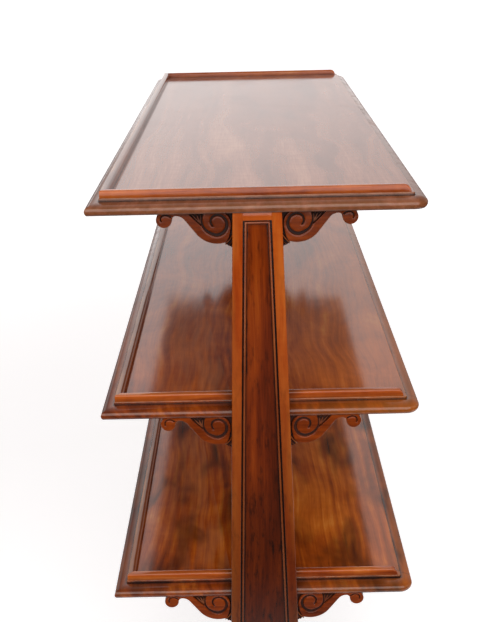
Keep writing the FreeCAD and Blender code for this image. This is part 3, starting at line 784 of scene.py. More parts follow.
def back_rail(tier):
    """The rail along the back. Its ends are mitred: each point runs on by its distance across."""
    low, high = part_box(tier + "_back_rail")
    across, height = rail_section()
    rows = []
    for share in np.linspace(0, 1, LONG_STEPS):
        x = (low.x + across) * (1 - share) + (high.x - across) * share
        rows.append(np.column_stack([x, high.y - across, high.z - rail_rise + height]))
    place_rail(tier + "_back_rail", rows, rail_long_wood, LONG_WEAR_AND_HIGHLIGHT)


def end_rail(node, end, mitred, rounded):
    """A rail at one end of a tier, from front to back; end is -1 at the left, 1 at the right.

    Towards a rounded front end the height shrinks as a quarter circle: the square root of one
    less the square of the share of the drop that is left.
    """
    low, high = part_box(node)
    across, height = rail_section()
    x = low.x + across if end < 0 else high.x - across
    top = high.z - rail_rise
    z = top + height
    start = np.full(len(z), low.y) if rounded else half_width(z)
    stop = high.y - across if mitred else -half_width(z)
    quarter = np.linspace(0, np.pi / 2, ROUND_STEPS)
    near = (1 - np.cos(quarter)) * rail_rise / (high.y - low.y)
    rows = []
    for share in np.concatenate([near, np.linspace(near[-1], 1, END_STEPS)[1:]]):
        y = start * (1 - share) + stop * share
        lift = height
        if rounded:
            left = np.clip(1 - (y - low.y) / rail_rise, 0, 0.998)
            lift = np.where(height > 0, height * np.sqrt(1 - left ** 2), height)
        rows.append(np.column_stack([x, y, top + lift]))
    place_rail(node, rows, rail_end_wood, END_WEAR_AND_HIGHLIGHT)


for tier in ("top", "middle", "lower"):
    back_rail(tier)
for side, end in (("left", -1), ("right", 1)):
    end_rail(f"top_{side}_rail", end, mitred=True, rounded=True)
    for tier in ("middle", "lower"):
        end_rail(f"{tier}_{side}_front_rail", end, mitred=False, rounded=True)
        end_rail(f"{tier}_{side}_back_rail", end, mitred=True, rounded=False)
print("gallery rails stand", round(rail_rise / MM, 1), "mm above the boards")

# %% [markdown]
# Each end standard is a thick plank with a facing in front of it: two stiles that follow its
# slanting sides, a head rail and a foot rail between them, and inside them a sunk panel with a
# small half-round bead. Dark lines on a flat face could stand for the panel, but only real depth
# has a shadow from every side. The shapes are drawn for the left end. The right end is the same
# turned to face the other way, so every point's X changes its sign.

# %% Standards
STILE_WIDTH = 15.5 * MM
STILE_ARRIS = 1.3 * MM
SMALL_ARRIS = 0.6 * MM
TINY = 0.15 * MM
BEAD_INSET = 19.7 * MM
BEAD_HALF = 1.7 * MM
BEAD_HEIGHT = 5.2 * MM
STILE_STEPS, CROSS_STEPS, PANEL_STEPS = 24, 12, 10
ENDS = (("left", 1), ("right", -1))
head_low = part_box("left_standard_head_rail")[0].z
foot_rail_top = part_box("left_standard_foot_rail")[1].z


def stile_points(face):
    """A stile's sections from foot to head: y is half the standard's width less its inset."""
    radii = (STILE_ARRIS, TINY, TINY, SMALL_ARRIS)
    depth, inset = rounded_rectangle(panel_x - facing_x, STILE_WIDTH, radii).T
    rows = []
    for z in np.linspace(foot_top, top_underside, STILE_STEPS):
        y = face * (half_width(z) - inset)
        rows.append(np.column_stack([facing_x + depth, y, np.full(len(inset), z)]))
    # Wear along the arrises, and painted shade with grime on the side that faces the sunk panel.
    near = np.clip(1 - depth / STILE_ARRIS, 0, 1)
    wear = np.where(inset < STILE_WIDTH / 2, near, near * 0.4)
    grime = np.clip((depth - 2 * MM) / (3 * MM), 0, 1) * (inset > STILE_WIDTH / 2)
    return np.array(rows), grime, wear


def cross_points(z0, z1, arris_below, arris_above):
    """A head or foot rail's sections from stile to stile; its ends follow the stiles' slope."""
    radii = (arris_below, TINY, TINY, arris_above)
    depth, rise = rounded_rectangle(panel_x - facing_x, z1 - z0, radii).T
    z = z0 + rise
    reach = half_width(z) - STILE_WIDTH
    rows = []
    for share in np.linspace(-1, 1, CROSS_STEPS):
        rows.append(np.column_stack([facing_x + depth, share * reach, z]))
    wear = np.clip(1 - depth / STILE_ARRIS, 0, 1) * 0.3
    return np.array(rows), 0 * wear, wear


def bead_points():
    """The bead's half-round at the panel's four corners; an offset inward moves both y and z."""
    angle = np.linspace(np.pi, 0, 9)
    shoulder = BEAD_HEIGHT - BEAD_HALF
    offset = np.concatenate([[-BEAD_HALF], BEAD_HALF * np.cos(angle), [BEAD_HALF]])
    rise = np.concatenate([[0], shoulder + BEAD_HALF * np.sin(angle), [0]])
    margin = BEAD_INSET - STILE_WIDTH
    low = foot_rail_top + margin + offset
    high = head_low - margin - offset
    rows = []
    for z, face in ((low, -1), (low, 1), (high, 1), (high, -1)):
        y = face * (half_width(z) - BEAD_INSET - offset)
        rows.append(np.column_stack([panel_x - rise, y, z]))
    # Painted shade and grime at the bead's foot; wear with a painted highlight along its top.
    grime = np.clip(1 - rise / (2.2 * MM), 0, 1)
    return np.array(rows), grime, 0.5 - 0.5 * np.clip((BEAD_HEIGHT - rise) / BEAD_HALF, 0, 1)


def core_points():
    """Sections of the plank behind the facing, closer under the bead, with dirt and painted shade.

    Each list of places, in millimetres from an edge, has a list of how dark it is there.
    """
    insets = np.array([0, 15.5, 16.5, 18.0, 21.4, 22.0, 23.2, 25.0, 28.0]) * MM
    dark = np.array([0, 1, 1, 1, 1, 0.8, 0.35, 0.1, 0])
    lower = foot_top + np.array([0, 37, 38, 39, 40.5, 43.9, 44.6, 46, 48.5, 52]) * MM
    upper = np.array([26, 22.5, 20.1, 18.7, 18.1, 14.6, 13.2, 12.5, 11.5, 0]) * MM
    upper = top_underside - upper
    level_dark = np.array([0, 0, 1, 1, 1, 1, 0.8, 0.35, 0.1, 0])
    between = np.linspace(lower[-1], upper[0], PANEL_STEPS + 2)[1:-1]
    heights = np.concatenate([lower, between, upper])
    heights_dark = np.concatenate([level_dark, np.zeros(PANEL_STEPS), level_dark[::-1]])
    angle = np.linspace(0, np.pi / 2, 5)
    arris_x = inner_x - SMALL_ARRIS * (1 - np.sin(angle))
    arris_in = SMALL_ARRIS * (1 - np.cos(angle))
    x = np.concatenate([np.full(2 * len(insets), panel_x), arris_x, arris_x[::-1]])
    rows, grime = [], []
    for z, z_dark in zip(heights, heights_dark):
        width = half_width(z)
        outer, inner = insets - width, arris_in - width
        y = np.concatenate([outer, -outer[::-1], -inner, inner[::-1]])
        rows.append(np.column_stack([x, y, np.full(len(x), z)]))
        face_dark = np.maximum(np.concatenate([dark, dark[::-1]]), z_dark)
        face_dark[[0, -1]] = 0
        grime.append(np.concatenate([face_dark, np.zeros(2 * len(angle))]))
    return np.array(rows), np.concatenate(grime)


def standard(end, sign):
    """All the pieces of one standard; at the other end X changes its sign."""
    base = end + "_standard_"
    turned = (sign, 1, 1)
    head = cross_points(head_low, top_underside, SMALL_ARRIS, TINY)
    foot = cross_points(foot_top, foot_rail_top, TINY, SMALL_ARRIS)
    facings = (("back_stile", stile_points(1), stile_wood),
               ("front_stile", stile_points(-1), stile_wood),
               ("head_rail", head, cross_wood), ("foot_rail", foot, cross_wood))
    for label, (rows, grime, wear), material in facings:
        tube_piece(base + label, "_facing", rows * turned, material, grime, wear)
    rows, grime, wear = bead_points()
    faces = grid_faces(*rows.shape[:2], close_rows=True, close_columns=True)
    mesh = shape(base + "bead", (rows * turned).reshape(-1, 3), faces, grime, wear)
    piece(base + "bead", "_round", mesh, bead_wood)
    rows, grime = core_points()
    tube_piece(base + "core", "_panel", rows * turned, panel_wood, grime)


for end, sign in ENDS:
    standard(end, sign)
print("standards made, each", round(2 * half_width(foot_top) / MM, 1), "mm wide at its foot")

# %% [markdown]
# The scroll brackets are sawn to an outline and then carved on their outer face. They could be
# sculpted by hand, but a worked-out relief makes all twelve alike, and one number mends them all.
# A height is worked out at each of many thousand points of the face from its distances to the
# drawn lines. A channel follows a spiral, which is a radius for each angle about the volute's
# eye. Places are (out, down) in millimetres: out from the standard's side, down from the board.
# The outline's circles are the belly under the large volute, the neck, the throat and the small
# scroll at the tip.

# %% Bracket outline
BELLY, BELLY_RADIUS = (23, 10), 40
NECK, NECK_RADIUS = (84.3, 22.1), 16
THROAT, THROAT_RADIUS = (84.3, 12.2), 6.1
SCROLL, SCROLL_RADIUS = (102.2, 12.2), 11.8
SLOPE_ANGLE = 52
HUSK_REACH, NEAR_REACH = 13.5, 7
LIP_DOWN = 3.0
TIP = (118.0, 0.0)
CELL = 0.6


def circle(centre, radius, start, end, count):
    """Points of a circle from one angle to another, in degrees."""
    angle = np.radians(np.linspace(start, end, count))
    return np.column_stack([centre[0] + radius * np.cos(angle), centre[1] + radius * np.sin(angle)])


def side_point(down):
    """A place on the standard's slanting side."""
    return (STANDARD_SLOPE * down, down)


def outline_and_target():
    """The bracket's lower outline, and for each of its points a partner on the standard or board.

    Its stretches are lines from start to end and circles with centre, radius and two angles.
    Along a stretch both points move evenly, with a cell for each 0.6 mm of the longer run.
    """
    slope = math.radians(SLOPE_ANGLE)
    drop = math.sqrt(BELLY_RADIUS ** 2 - HUSK_REACH ** 2)
    foot_angle = math.degrees(math.atan2(drop, -HUSK_REACH))
    near_angle = math.degrees(math.acos(-NEAR_REACH / BELLY_RADIUS))
    rise = (BELLY[0] + BELLY_RADIUS * math.sin(slope),
            BELLY[1] + BELLY_RADIUS - BELLY_RADIUS * (1 - math.cos(slope)))
    hollow = (NECK[0] - NECK_RADIUS * math.sin(slope),
              THROAT_RADIUS + NECK_RADIUS * (1 - math.cos(slope)))
    lip = -math.degrees(math.asin((SCROLL[1] - LIP_DOWN) / SCROLL_RADIUS))
    lip_out = SCROLL[0] + SCROLL_RADIUS * math.cos(math.radians(lip))
    husk_end = (BELLY[0] - HUSK_REACH, BELLY[1] + drop)
    stretches = [
        (side_point(57), (4, 55.5)),
        ((4, 55.5), (12, 51)),
        ((12, 51), husk_end),
        (BELLY, BELLY_RADIUS, foot_angle, near_angle),
        (BELLY, BELLY_RADIUS, near_angle, 90),
        (BELLY, BELLY_RADIUS, 90, 90 - SLOPE_ANGLE),
        (rise, hollow),
        (NECK, NECK_RADIUS, 270 - SLOPE_ANGLE, 270),
        (THROAT, THROAT_RADIUS, -90, 0),
        (SCROLL, SCROLL_RADIUS, 180, 90),
        (SCROLL, SCROLL_RADIUS, 90, 0),
        (SCROLL, SCROLL_RADIUS, 0, lip),
        ((lip_out, LIP_DOWN), TIP),
    ]
    partners = [side_point(down) for down in (57, 54.5, 46, 42)]
    partners += [(out, 0) for out in (0, 14, 46, 68, 84, 94, 101, 106, 109, 118)]
    lower, upper = [], []
    for stretch, start, end in zip(stretches, partners, partners[1:]):
        if len(stretch) == 2:
            length = math.dist(*stretch)
        else:
            length = stretch[1] * abs(math.radians(stretch[3] - stretch[2]))
        count = max(2, int(max(length, math.dist(start, end)) / CELL)) + 1
        drawn = np.linspace(*stretch, count) if len(stretch) == 2 else circle(*stretch, count)
        lower.append(drawn[:-1])
        upper.append(np.linspace(start, end, count)[:-1])
    return np.concatenate([*lower, [TIP]]), np.concatenate([*upper, [TIP]])


lower_line, upper_line = outline_and_target()
print("bracket outline of", len(lower_line), "points")

# %% [markdown]
# The relief is built up in layers, each as deep as the chisel went: the two channels, the dark
# hollow between the scroll and the standard with a small husk at its foot, and the sunk corner
# with its three-lobed leaf. The outline's arris is rounded over last. A spiral channel is written
# as its eye, the angle where it starts, the angle between its values, its radii and its half
# widths.

# %% Bracket relief
BIG_SPIRAL = ((22.3, 19.2), -40.0, 44.0,
              [27.0, 22.6, 18.4, 17.0, 14.8, 13.5, 13.3, 13.7, 12.9, 9.9, 7.2],
              [0.8, 1.4, 2.1, 2.6, 2.4, 2.2, 1.9, 1.7, 1.6, 1.4, 0.9])
SMALL_SPIRAL = ((100.6, 12.0), 205.0, 32.0,
                [9.8, 8.4, 7.8, 7.4, 7.0, 6.3, 5.4], [1.3, 1.2, 1.1, 1.0, 0.9, 0.8, 0.4])
CHANNEL_DEPTH = 3.2
HOLLOW_DEPTH = 4.6
CORNER_DEPTH = 5.0
ARRIS_ROUND = 1.6
HOLLOW_ANGLES = [0, 90, 110, 135, 150, 180, 225, 270, 275, 280, 360]
HOLLOW_RADII = [200, 200, 31, 24, 21, 19.4, 19.2, 19.4, 22, 200, 200]
HUSK_UPPER_RIB = ((0.6, 37.6), (4.8, 44.0), (11.2, 50.4))
HUSK_LOWER_RIB = ((1.4, 48.2), (6.6, 53.4))
CORNER_SIDES = (((66.5, 2.2), (57.0, 12.7), (46.4, 22.8)),
                ((46.4, 22.8), (45.7, 11.0), (44.0, 2.2)))
CORNER_MIDDLE = (51.5, 9)
CORNER_TOP = 1.6
LEAF_FOOT = (47.6, 19.0)
LEAF_TIPS = (((47.4, 5.0), 1.4), ((53.2, 5.2), 1.9), ((60.4, 4.4), 1.5))


def bell(distance, width):
    """1 at no distance, falling off smoothly within about one width."""
    return np.exp(-(distance / width) ** 2)


def along_values(values, t):
    """A smooth curve through the values, read at t.

    Each stretch is a cubic that leaves and arrives with the slope between its neighbours.
    """
    v = np.array([2 * values[0] - values[1]] + list(values) + [2 * values[-1] - values[-2]])
    i = np.clip(np.floor(t).astype(int), 0, len(values) - 2)
    f = np.clip(t, 0, len(values) - 1) - i
    a, b, c, d = v[i], v[i + 1], v[i + 2], v[i + 3]
    return b + 0.5 * f * (c - a + f * (2 * a - 5 * b + 4 * c - d + f * (3 * (b - c) + d - a)))


def channel(out, down, spiral):
    """The depth of a spiral channel, and how far a place is outside it, negative inside.

    For every turn of the spiral the angle gives a radius and a half width; the distance is the
    difference of radii less the half width. The depth is full in the middle and steep at the
    sides, with soft shoulders beyond them, and fades away at the spiral's inner end.
    """
    eye, start, step, radii, half_widths = spiral
    radius = np.hypot(out - eye[0], down - eye[1])
    angle = np.degrees(np.arctan2(down - eye[1], out - eye[0]))
    nearest = np.full(out.shape, 99.0)
    fade = np.zeros(out.shape)
    last = len(radii) - 1
    for turn in (0, 1, 2):
        t = (angle + 360 * turn - start) / step
        gap = np.abs(radius - along_values(radii, t)) - along_values(half_widths, t)
        closer = (t >= 0) & (t <= last) & (gap < nearest)
        nearest = np.where(closer, gap, nearest)
        fade = np.where(closer, smooth01((last - t) / 0.5), fade)
    cut = CHANNEL_DEPTH * smooth01((0.45 - nearest) / 0.95) * fade
    shoulder = 0.45 * bell(np.clip(nearest, 0, None), 1.3) * fade
    return np.maximum(cut, shoulder), nearest


def beyond_circle(out, down, points, inside_point):
    """Distance from a circle through three points, positive on the side of inside_point.

    The circle's centre solves the two equations of equal distance to the points.
    """
    a, b, c = points
    rows = np.array([(b[0] - a[0], b[1] - a[1]), (c[0] - a[0], c[1] - a[1])])
    sums = np.array([(p[0] ** 2 + p[1] ** 2 - a[0] ** 2 - a[1] ** 2) / 2 for p in (b, c)])
    centre = np.linalg.solve(rows, sums)
    radius = math.dist(centre, a)
    sign = 1 if math.dist(centre, inside_point) > radius else -1
    return sign * (np.hypot(out - centre[0], down - centre[1]) - radius)


def to_stroke(out, down, start, end):
    """Distance from a straight stroke, and how far along it the nearest place is, from 0 to 1."""
    direction = np.subtract(end, start)
    t = (out - start[0]) * direction[0] + (down - start[1]) * direction[1]
    t = np.clip(t / np.dot(direction, direction), 0, 1)
    gap = np.hypot(out - start[0] - t * direction[0], down - start[1] - t * direction[1])
    return gap, t


def leaf(out, down):
    """Three long lobes that fan out from one foot, each with a fine cut along its middle."""
    raised = np.zeros(out.shape)
    for tip, width in LEAF_TIPS:
        gap, t = to_stroke(out, down, LEAF_FOOT, tip)
        half = width * np.sin(np.pi * (0.12 + 0.80 * t))
        raised = np.maximum(raised, 4.0 * bell(gap, half + 0.2) - 0.8 * bell(gap, 0.32))
    return raised


def relief(out, down, edge_distance):
    """Depth below the bracket's outer face at each place, and its wear and painted highlights."""
    big, big_gap = channel(out, down, BIG_SPIRAL)
    small, small_gap = channel(out, down, SMALL_SPIRAL)
    eye = BIG_SPIRAL[0]
    angle = np.degrees(np.arctan2(down - eye[1], out - eye[0])) % 360
    radius = np.hypot(out - eye[0], down - eye[1])
    edge = np.interp(angle, HOLLOW_ANGLES, HOLLOW_RADII)
    hollow = HOLLOW_DEPTH * smooth01((radius - edge + 0.2) / 1.3)
    foot, bend, tip = HUSK_UPPER_RIB
    upper_rib = np.minimum(to_stroke(out, down, foot, bend)[0], to_stroke(out, down, bend, tip)[0])
    lower_rib = to_stroke(out, down, *HUSK_LOWER_RIB)[0]
    hollow = hollow - np.minimum(4.4 * bell(upper_rib, 1.4) + 3.2 * bell(lower_rib, 1.0), hollow)

    sides = [beyond_circle(out, down, points, CORNER_MIDDLE) for points in CORNER_SIDES]
    corner = np.minimum.reduce([*sides, down - CORNER_TOP])
    sunk = CORNER_DEPTH * smooth01((corner + 0.3) / 1.2)
    lobes = leaf(out, down)
    sunk = sunk - np.minimum(lobes, sunk)

    t = np.clip(edge_distance / ARRIS_ROUND, 0, 1)
    arris = ARRIS_ROUND * (1 - np.sqrt(1 - (1 - t) ** 2))
    depth = np.maximum.reduce([big, small, sunk, hollow, arris])
    # Painted highlights along the channels' rims; wear on the outline's arris, the leaf and the
    # husk's ribs.
    rim = bell(big_gap - 0.7, 0.6) + bell(small_gap - 0.7, 0.6)
    crest = smooth01((lobes - 1.6) / 1.2) * (corner > 0)
    crest = crest + bell(upper_rib, 1.0) + 0.7 * bell(lower_rib, 0.7)
    wear = np.clip(0.12 * rim + 0.5 * bell(edge_distance, 1.2) + 0.8 * crest, 0, 1)
    return depth, wear


print("the channels are", CHANNEL_DEPTH, "mm deep, the corner", CORNER_DEPTH, "mm")

# %% [markdown]
# The face's grid runs from the sawn outline to the standard and the board. A wall goes back
# from its rim to the plain inner face. One bracket is worked out, and the other eleven are the
# same points moved to their tier and turned to their side. Linked copies could share one mesh,
# but each bracket stands for a piece of its own, with its place in its mesh.

# %% Brackets
BRACKET_THICKNESS = 22.0
BRACKET_OUTER = 688.5
BRACKET_SHARP = math.radians(58)
FACE_ROWS = 80


def bracket_local():
    """One bracket's points as (inward from its face, out, down) in millimetres, and its faces.

    Its rows lie closer near both edges of the face, and its dirt and painted shade, its wear and
    painted highlights come with it.
    """
    even = np.linspace(0, 1, FACE_ROWS)
    share = (even - 0.35 * np.sin(2 * np.pi * even) / (2 * np.pi))[:, None, None]
    face = lower_line[None] * (1 - share) + upper_line[None] * share
    out, down = face[..., 0], face[..., 1]
    edge_distance = np.hypot(out - lower_line[None, :, 0], down - lower_line[None, :, 1])
    depth, wear = relief(out, down, edge_distance)
    # Painted shade and grime deepen with the depth of a hollow.
    grime = smooth01((depth - 1.0) / 1.4)
    columns = len(lower_line)
    face_points = np.stack([depth, out, down], axis=-1).reshape(-1, 3)
    last_row = (FACE_ROWS - 1) * columns + np.arange(columns - 2, 0, -1)
    rim = np.concatenate([np.arange(columns), last_row])
    back = face_points[rim].copy()
    back[:, 0] = BRACKET_THICKNESS
    behind = len(face_points) + np.arange(len(rim))
    wall = np.stack([rim, np.roll(rim, -1), np.roll(behind, -1), behind], axis=-1).tolist()
    faces = grid_faces(FACE_ROWS, columns) + wall + [behind.tolist()]
    clean = np.zeros(len(rim))
    grime, wear = [np.concatenate([values.ravel(), clean]) for values in (grime, wear)]
    return np.concatenate([face_points, back]), faces, grime, wear


def bracket(name, x_sign, y_sign, z_top):
    """Places the worked-out bracket under a board, on the side that the signs say."""
    points, faces, grime, wear = local_bracket
    x = -(BRACKET_OUTER - points[:, 0]) * MM * x_sign
    y = (half_width(z_top) + points[:, 1] * MM) * y_sign
    z = z_top - points[:, 2] * MM
    placed = np.column_stack([x, y, z])
    mesh = shape(name, placed, faces, grime, wear, sharp=BRACKET_SHARP, merge=True)
    return piece(name, "_carved", mesh, carved_wood)


local_bracket = bracket_local()
for tier in ("top", "middle", "lower"):
    tier_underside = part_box(tier + "_board")[0].z
    for end, x_sign in ENDS:
        for side, y_sign in (("back", 1), ("front", -1)):
            made = bracket(f"{tier}_{end}_{side}_bracket", x_sign, y_sign, tier_underside)
print("twelve brackets of", len(made.data.polygons), "faces each")

# %% [markdown]
# A trestle foot is a thick board sawn to an outline with rounded toes, and its edges are softened
# all round. A bevel could soften them, but its corners crowd where the outline's points lie
# close. So the outline is drawn in a few times: near each face the drawing shrinks and steps
# sideways as a quarter circle.

# %% Trestle feet
FOOT_ROUNDING = 2.6 * MM
FOOT_END = 235.0
FOOT_HEIGHT = 66
TOE_RADIUS = 18.0
TOE_TOP = 2 * TOE_RADIUS
TOE_FLAT = 30
ARCH_HEIGHT = 12
ARCH_LIP, PAD_LENGTH = 114, 84
SHOULDER = 14


def outline_normals(outline):
    """Outward directions of a closed outline: across the sum of the two edges at each point."""
    ahead = np.roll(outline, -1, axis=0) - outline
    behind = outline - np.roll(outline, 1, axis=0)
    along = ahead / np.linalg.norm(ahead, axis=1)[:, None]
    along = along + behind / np.linalg.norm(behind, axis=1)[:, None]
    along /= np.linalg.norm(along, axis=1)[:, None]
    return np.column_stack([along[:, 1], -along[:, 0]])


def rounded_slab(outline, low, high, rounding, steps=5):
    """Points and faces of a slab over a counterclockwise outline, with quarter-round edges.

    At each ring the outline is drawn in by rounding times one less the sine, and the level
    steps by rounding times one less the cosine.
    """
    normals = outline_normals(outline)
    angles = np.linspace(0, np.pi / 2, steps)
    levels = [(low + rounding * (1 - math.cos(a)), rounding * (1 - math.sin(a))) for a in angles]
    levels += [(high + low - level, inset) for level, inset in reversed(levels)]
    rings = []
    for level, inset in levels:
        rings.append(np.column_stack([np.full(len(outline), level), outline - normals * inset]))
    return tube(np.array(rings))


def evenly(start, end, step=2.0):
    """Points on a line, about one for each two millimetres, without the last."""
    count = max(1, int(math.dist(start, end) / step))
    return np.linspace(start, end, count + 1)[:-1]


def ogee_points(start, end):
    """A double curve that leaves and arrives level."""
    t = np.linspace(0, 1, 25)[:-1]
    across = start[0] + (end[0] - start[0]) * t
    return np.column_stack([across, start[1] + (end[1] - start[1]) * smooth01(t)])


def foot_outline():
    """Half of the foot from its middle along the underside, round the toe and back, mirrored."""
    shoulder = half_width(foot_top) / MM + SHOULDER
    arch, pad, toe = FOOT_END - ARCH_LIP, FOOT_END - PAD_LENGTH, FOOT_END - TOE_RADIUS
    half = np.concatenate([
        evenly((0, ARCH_HEIGHT), (arch, ARCH_HEIGHT)),
        ogee_points((arch, ARCH_HEIGHT), (pad, 0)),
        evenly((pad, 0), (toe, 0)),
        circle((toe, TOE_RADIUS), TOE_RADIUS, -90, 90, 25)[:-1],
        evenly((toe, TOE_TOP), (toe - TOE_FLAT, TOE_TOP)),
        ogee_points((toe - TOE_FLAT, TOE_TOP), (shoulder, FOOT_HEIGHT)),
        evenly((shoulder, FOOT_HEIGHT), (0, FOOT_HEIGHT)),
        [(0, FOOT_HEIGHT)],
    ])
    return np.concatenate([half, half[::-1][1:-1] * (-1, 1)])


for end, sign in ENDS:
    foot = end + "_foot"
    low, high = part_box(foot)
    slab = rounded_slab(foot_outline() * MM + (0, low.z), low.x, high.x, FOOT_ROUNDING)
    piece(foot, "_trestle", shape(foot, *slab), foot_wood)
print("feet made, outline of", len(foot_outline()), "points")

# %% [markdown]
# The castors are old brass on swivelling forks. The frame already has their socket, fork and
# axle in the right shape, but with knife-sharp edges, which no worn metal has. They could be
# drawn anew, but it is less work to mend them: a copy of each is merged, its flat faces are
# joined again, and its arrises are rounded over. The wheel is
# turned on a lathe: half of its section is drawn, mirrored, and spun about the axle.

# %% Castors
WHEEL_RADIUS = 17.0
WHEEL_HALF = 6.5
TREAD_ROUND = 1.8
WHEEL_TURNS = 72
HOLLOW_START, HOLLOW_END, HOLLOW_SUNK = 8.5, 14.0, 0.9
BORE, BOSS, BOSS_HALF, EASE = 2.55, 7.0, 7.7, 0.4
EASED = 0.5 * MM
AXLE_EASED = 0.4 * MM


def softened(node, width):
    """A copy of a frame piece whose outer edges sharper than 30 degrees are rounded by width."""
    work = bmesh.new()
    work.from_mesh(frame["nodes"][node].data)
    bmesh.ops.remove_doubles(work, verts=work.verts, dist=0.002 * MM)
    bmesh.ops.dissolve_limit(work, angle_limit=math.radians(1), verts=work.verts, edges=work.edges)
    sharp = math.radians(30)
    arrises = [edge for edge in work.edges if edge.is_convex and edge.calc_face_angle() > sharp]
    bmesh.ops.bevel(work, geom=arrises, offset=width, segments=3, profile=0.5, affect="EDGES",
                    clamp_overlap=True)
    mesh = bpy.data.meshes.new(node + "_soft")
    work.to_mesh(mesh)
    work.free()
    return smoothed(mesh, math.radians(28))


def wheel_section():
    """The wheel's closed section as (radius, side) in millimetres, and how deep its hollow is.

    The hollow's depth is the square of the sine of half a turn across it. Small arcs ease the
    bore, the boss and the boss's foot.
    """
    across = np.linspace(HOLLOW_START, HOLLOW_END, 13)
    span = HOLLOW_END - HOLLOW_START
    hollow = HOLLOW_SUNK * np.sin(np.pi * (across - HOLLOW_START) / span) ** 2
    edge = (WHEEL_RADIUS - TREAD_ROUND, WHEEL_HALF - TREAD_ROUND)
    eased, root = BOSS_HALF - EASE, WHEEL_HALF + EASE
    half = np.concatenate([
        arc_points((BORE + EASE, eased), (BORE, eased), (BORE + EASE, BOSS_HALF), 4),
        arc_points((BOSS - EASE, eased), (BOSS - EASE, BOSS_HALF), (BOSS, eased), 4),
        arc_points((BOSS + EASE, root), (BOSS, root), (BOSS + EASE, WHEEL_HALF), 4),
        np.column_stack([across, WHEEL_HALF - hollow]),
        arc_points(edge, (edge[0], WHEEL_HALF), (WHEEL_RADIUS, edge[1]), 7),
        [(WHEEL_RADIUS, 2.0)],
    ])
    sunk = np.concatenate([np.zeros(12), hollow / HOLLOW_SUNK, np.zeros(8)])
    return np.concatenate([half, half[::-1] * (1, -1)]), np.concatenate([sunk, sunk[::-1]])


def wheel(corner):
    """The wheel of one castor: each point of the section goes round a circle about the axle."""
    node = corner + "_castor_wheel"
    low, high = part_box(node)
    centre = (low + high) / 2
    section, sunk = wheel_section()
    angle = np.linspace(0, 2 * np.pi, WHEEL_TURNS, endpoint=False)[:, None]
    x = centre.x + section[:, 0] * MM * np.cos(angle)
    y = centre.y + section[:, 1] * MM + 0 * angle
    z = centre.z + section[:, 0] * MM * np.sin(angle)
    points = np.stack([x, y, z], axis=-1).reshape(-1, 3)
    faces = grid_faces(WHEEL_TURNS, len(section), close_rows=True, close_columns=True)
    mesh = shape(node, points, faces, 0.3 + 0.5 * sunk)
    piece(node, "_turned", mesh, castor_brass, corner + "_wheel")


for corner in ("left_back", "left_front", "right_back", "right_front"):
    castor = corner + "_castor"
    for label, width, metal, body in (("_socket", EASED, castor_brass, "cabinet"),
                                      ("_fork", EASED, castor_brass, castor),
                                      ("_axle", AXLE_EASED, axle_steel, castor)):
        piece(castor + label, "_soft", softened(castor + label, width), metal, body)
    wheel(corner)
print("castors made, wheel section of", len(wheel_section()[0]), "points")

# %% [markdown]
# Light comes from a white room. The far side of the room is bright and the side behind the
# camera dim, as in a studio with a lit backdrop, so the polished tops mirror white while the
# near end keeps its deep colour. An even white all round would be simpler, but it washes the
# near end out. A broad soft lamp stands high before the near end, and its light fades down the
# standard. A smaller one lights the open front.

# %% Room and light
DIM_SIDE = 0.09
BRIGHT_SIDE = 1.25
PURE_WHITE = (1, 1, 1, 1)
WARM_WHITE = (1, 0.945, 0.935, 1)


def studio_world():
    """A world that is plain white to the camera.

    For all other rays its strength rises smoothly with the direction's X, and a little with its
    Y, and falls off beyond the sides of the paper backdrop.
    """
    world = bpy.data.worlds.new("room")
    bpy.context.scene.world = world
    direction = coordinates(world, "Generated")
    camera_ray = direction.node("LightPath", output="Is Camera Ray")
    along, across = direction.axis(0), direction.axis(1)
    lean = (0.8 + across.ramp(-0.3, 0.3) * 0.4) * (1.0 - abs(across).ramp(0.15, 0.4) * 0.65)
    room = DIM_SIDE + along.ramp(-0.3, 0.92) * lean * (BRIGHT_SIDE - DIM_SIDE)
    inputs = {
        "Color": camera_ray.mix(WARM_WHITE, PURE_WHITE),
        "Strength": camera_ray + (1.0 - camera_ray) * room,
    }
    white = direction.node("Background", None, inputs)
    white.node("OutputWorld", None, {"Surface": white})


def soft_lamp(name, place, target, width, height, power, mirrored=True):
    """A large flat lamp that faces target; only a mirrored one shows as a shape on polish."""
    data = bpy.data.lights.new(name, "AREA")
    data.shape = "RECTANGLE"
    data.size = width
    data.size_y = height
    data.energy = power
    lamp = add_object(name, data)
    aim = (Vector(target) - Vector(place)).to_track_quat("-Z", "Y")
    lamp.matrix_world = Matrix.Translation(place) @ aim.to_matrix().to_4x4()
    lamp.visible_camera = False
    lamp.visible_glossy = mirrored


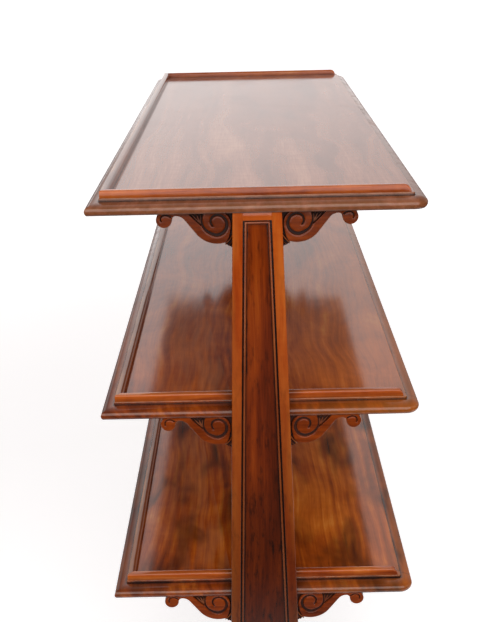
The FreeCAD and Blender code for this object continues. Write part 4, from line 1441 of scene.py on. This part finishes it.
studio_world()
soft_lamp("near_lamp", (-2.8, -0.1, 1.8), (-0.7, 0, 0.85), 4.2, 3.0, 84)
soft_lamp("front_lamp", (0.1, -2.3, 1.15), (0, 0, 0.6), 2.6, 1.6, 25, mirrored=False)
print("the room's bright side is", round(BRIGHT_SIDE / DIM_SIDE), "times as bright as its dim side")

# %% [markdown]
# The floor is a wide pale sheet at height zero. More light could make it white, but it would
# bleach the wood as well. So the floor keeps the object's soft shadow, and lifts itself to white
# where the camera sees it. Polish mirrors that white too, and glass would show it, within the
# width of the paper.

# %% Floor
FLOOR_REACH = 30.0
PAPER_NEAR, PAPER_SIDE = (-1.3, -0.6), (0.8, 1.3)
NEAR_GLOW, GLOW_RISE, GLOW_REACH = 0.6, 0.25, (1.0, 3.5)


def pale_floor():
    """A large square floor: white paper that also glows to the camera, less near the object."""
    r = FLOOR_REACH
    mesh = bpy.data.meshes.new("floor")
    mesh.from_pydata([(-r, -r, 0), (r, -r, 0), (r, r, 0), (-r, r, 0)], [], [(0, 1, 2, 3)])
    floor = add_object("floor", mesh)
    material = bpy.data.materials.new("floor_paper")
    place = coordinates(material)
    rays = ("Is Camera Ray", "Is Glossy Ray", "Is Transmission Ray")
    camera_ray, glossy, through = [place.node("LightPath", output=kind) for kind in rays]
    on_paper = place.axis(0).ramp(*PAPER_NEAR) * (1.0 - abs(place.axis(1)).ramp(*PAPER_SIDE))
    tint = camera_ray.most(on_paper).mix((0.05, 0.05, 0.05, 1), (0.8, 0.79, 0.79, 1))
    seen_white = camera_ray.most(glossy.most(through) * on_paper)
    away = place.vector("LENGTH", output=1)
    strength = seen_white * (NEAR_GLOW + away.ramp(*GLOW_REACH) * GLOW_RISE)
    paper = place.node("BsdfPrincipled", None, {"Base Color": tint, "Roughness": 0.9})
    glow = place.node("Emission", None, {"Color": (1, 0.985, 0.985, 1), "Strength": strength})
    both = place.node("AddShader", None, {0: paper, 1: glow})
    both.node("OutputMaterial", None, {"Surface": both})
    mesh.materials.append(material)


pale_floor()
bpy.context.scene.view_settings.view_transform = "Standard"
print("floor and lamps placed")
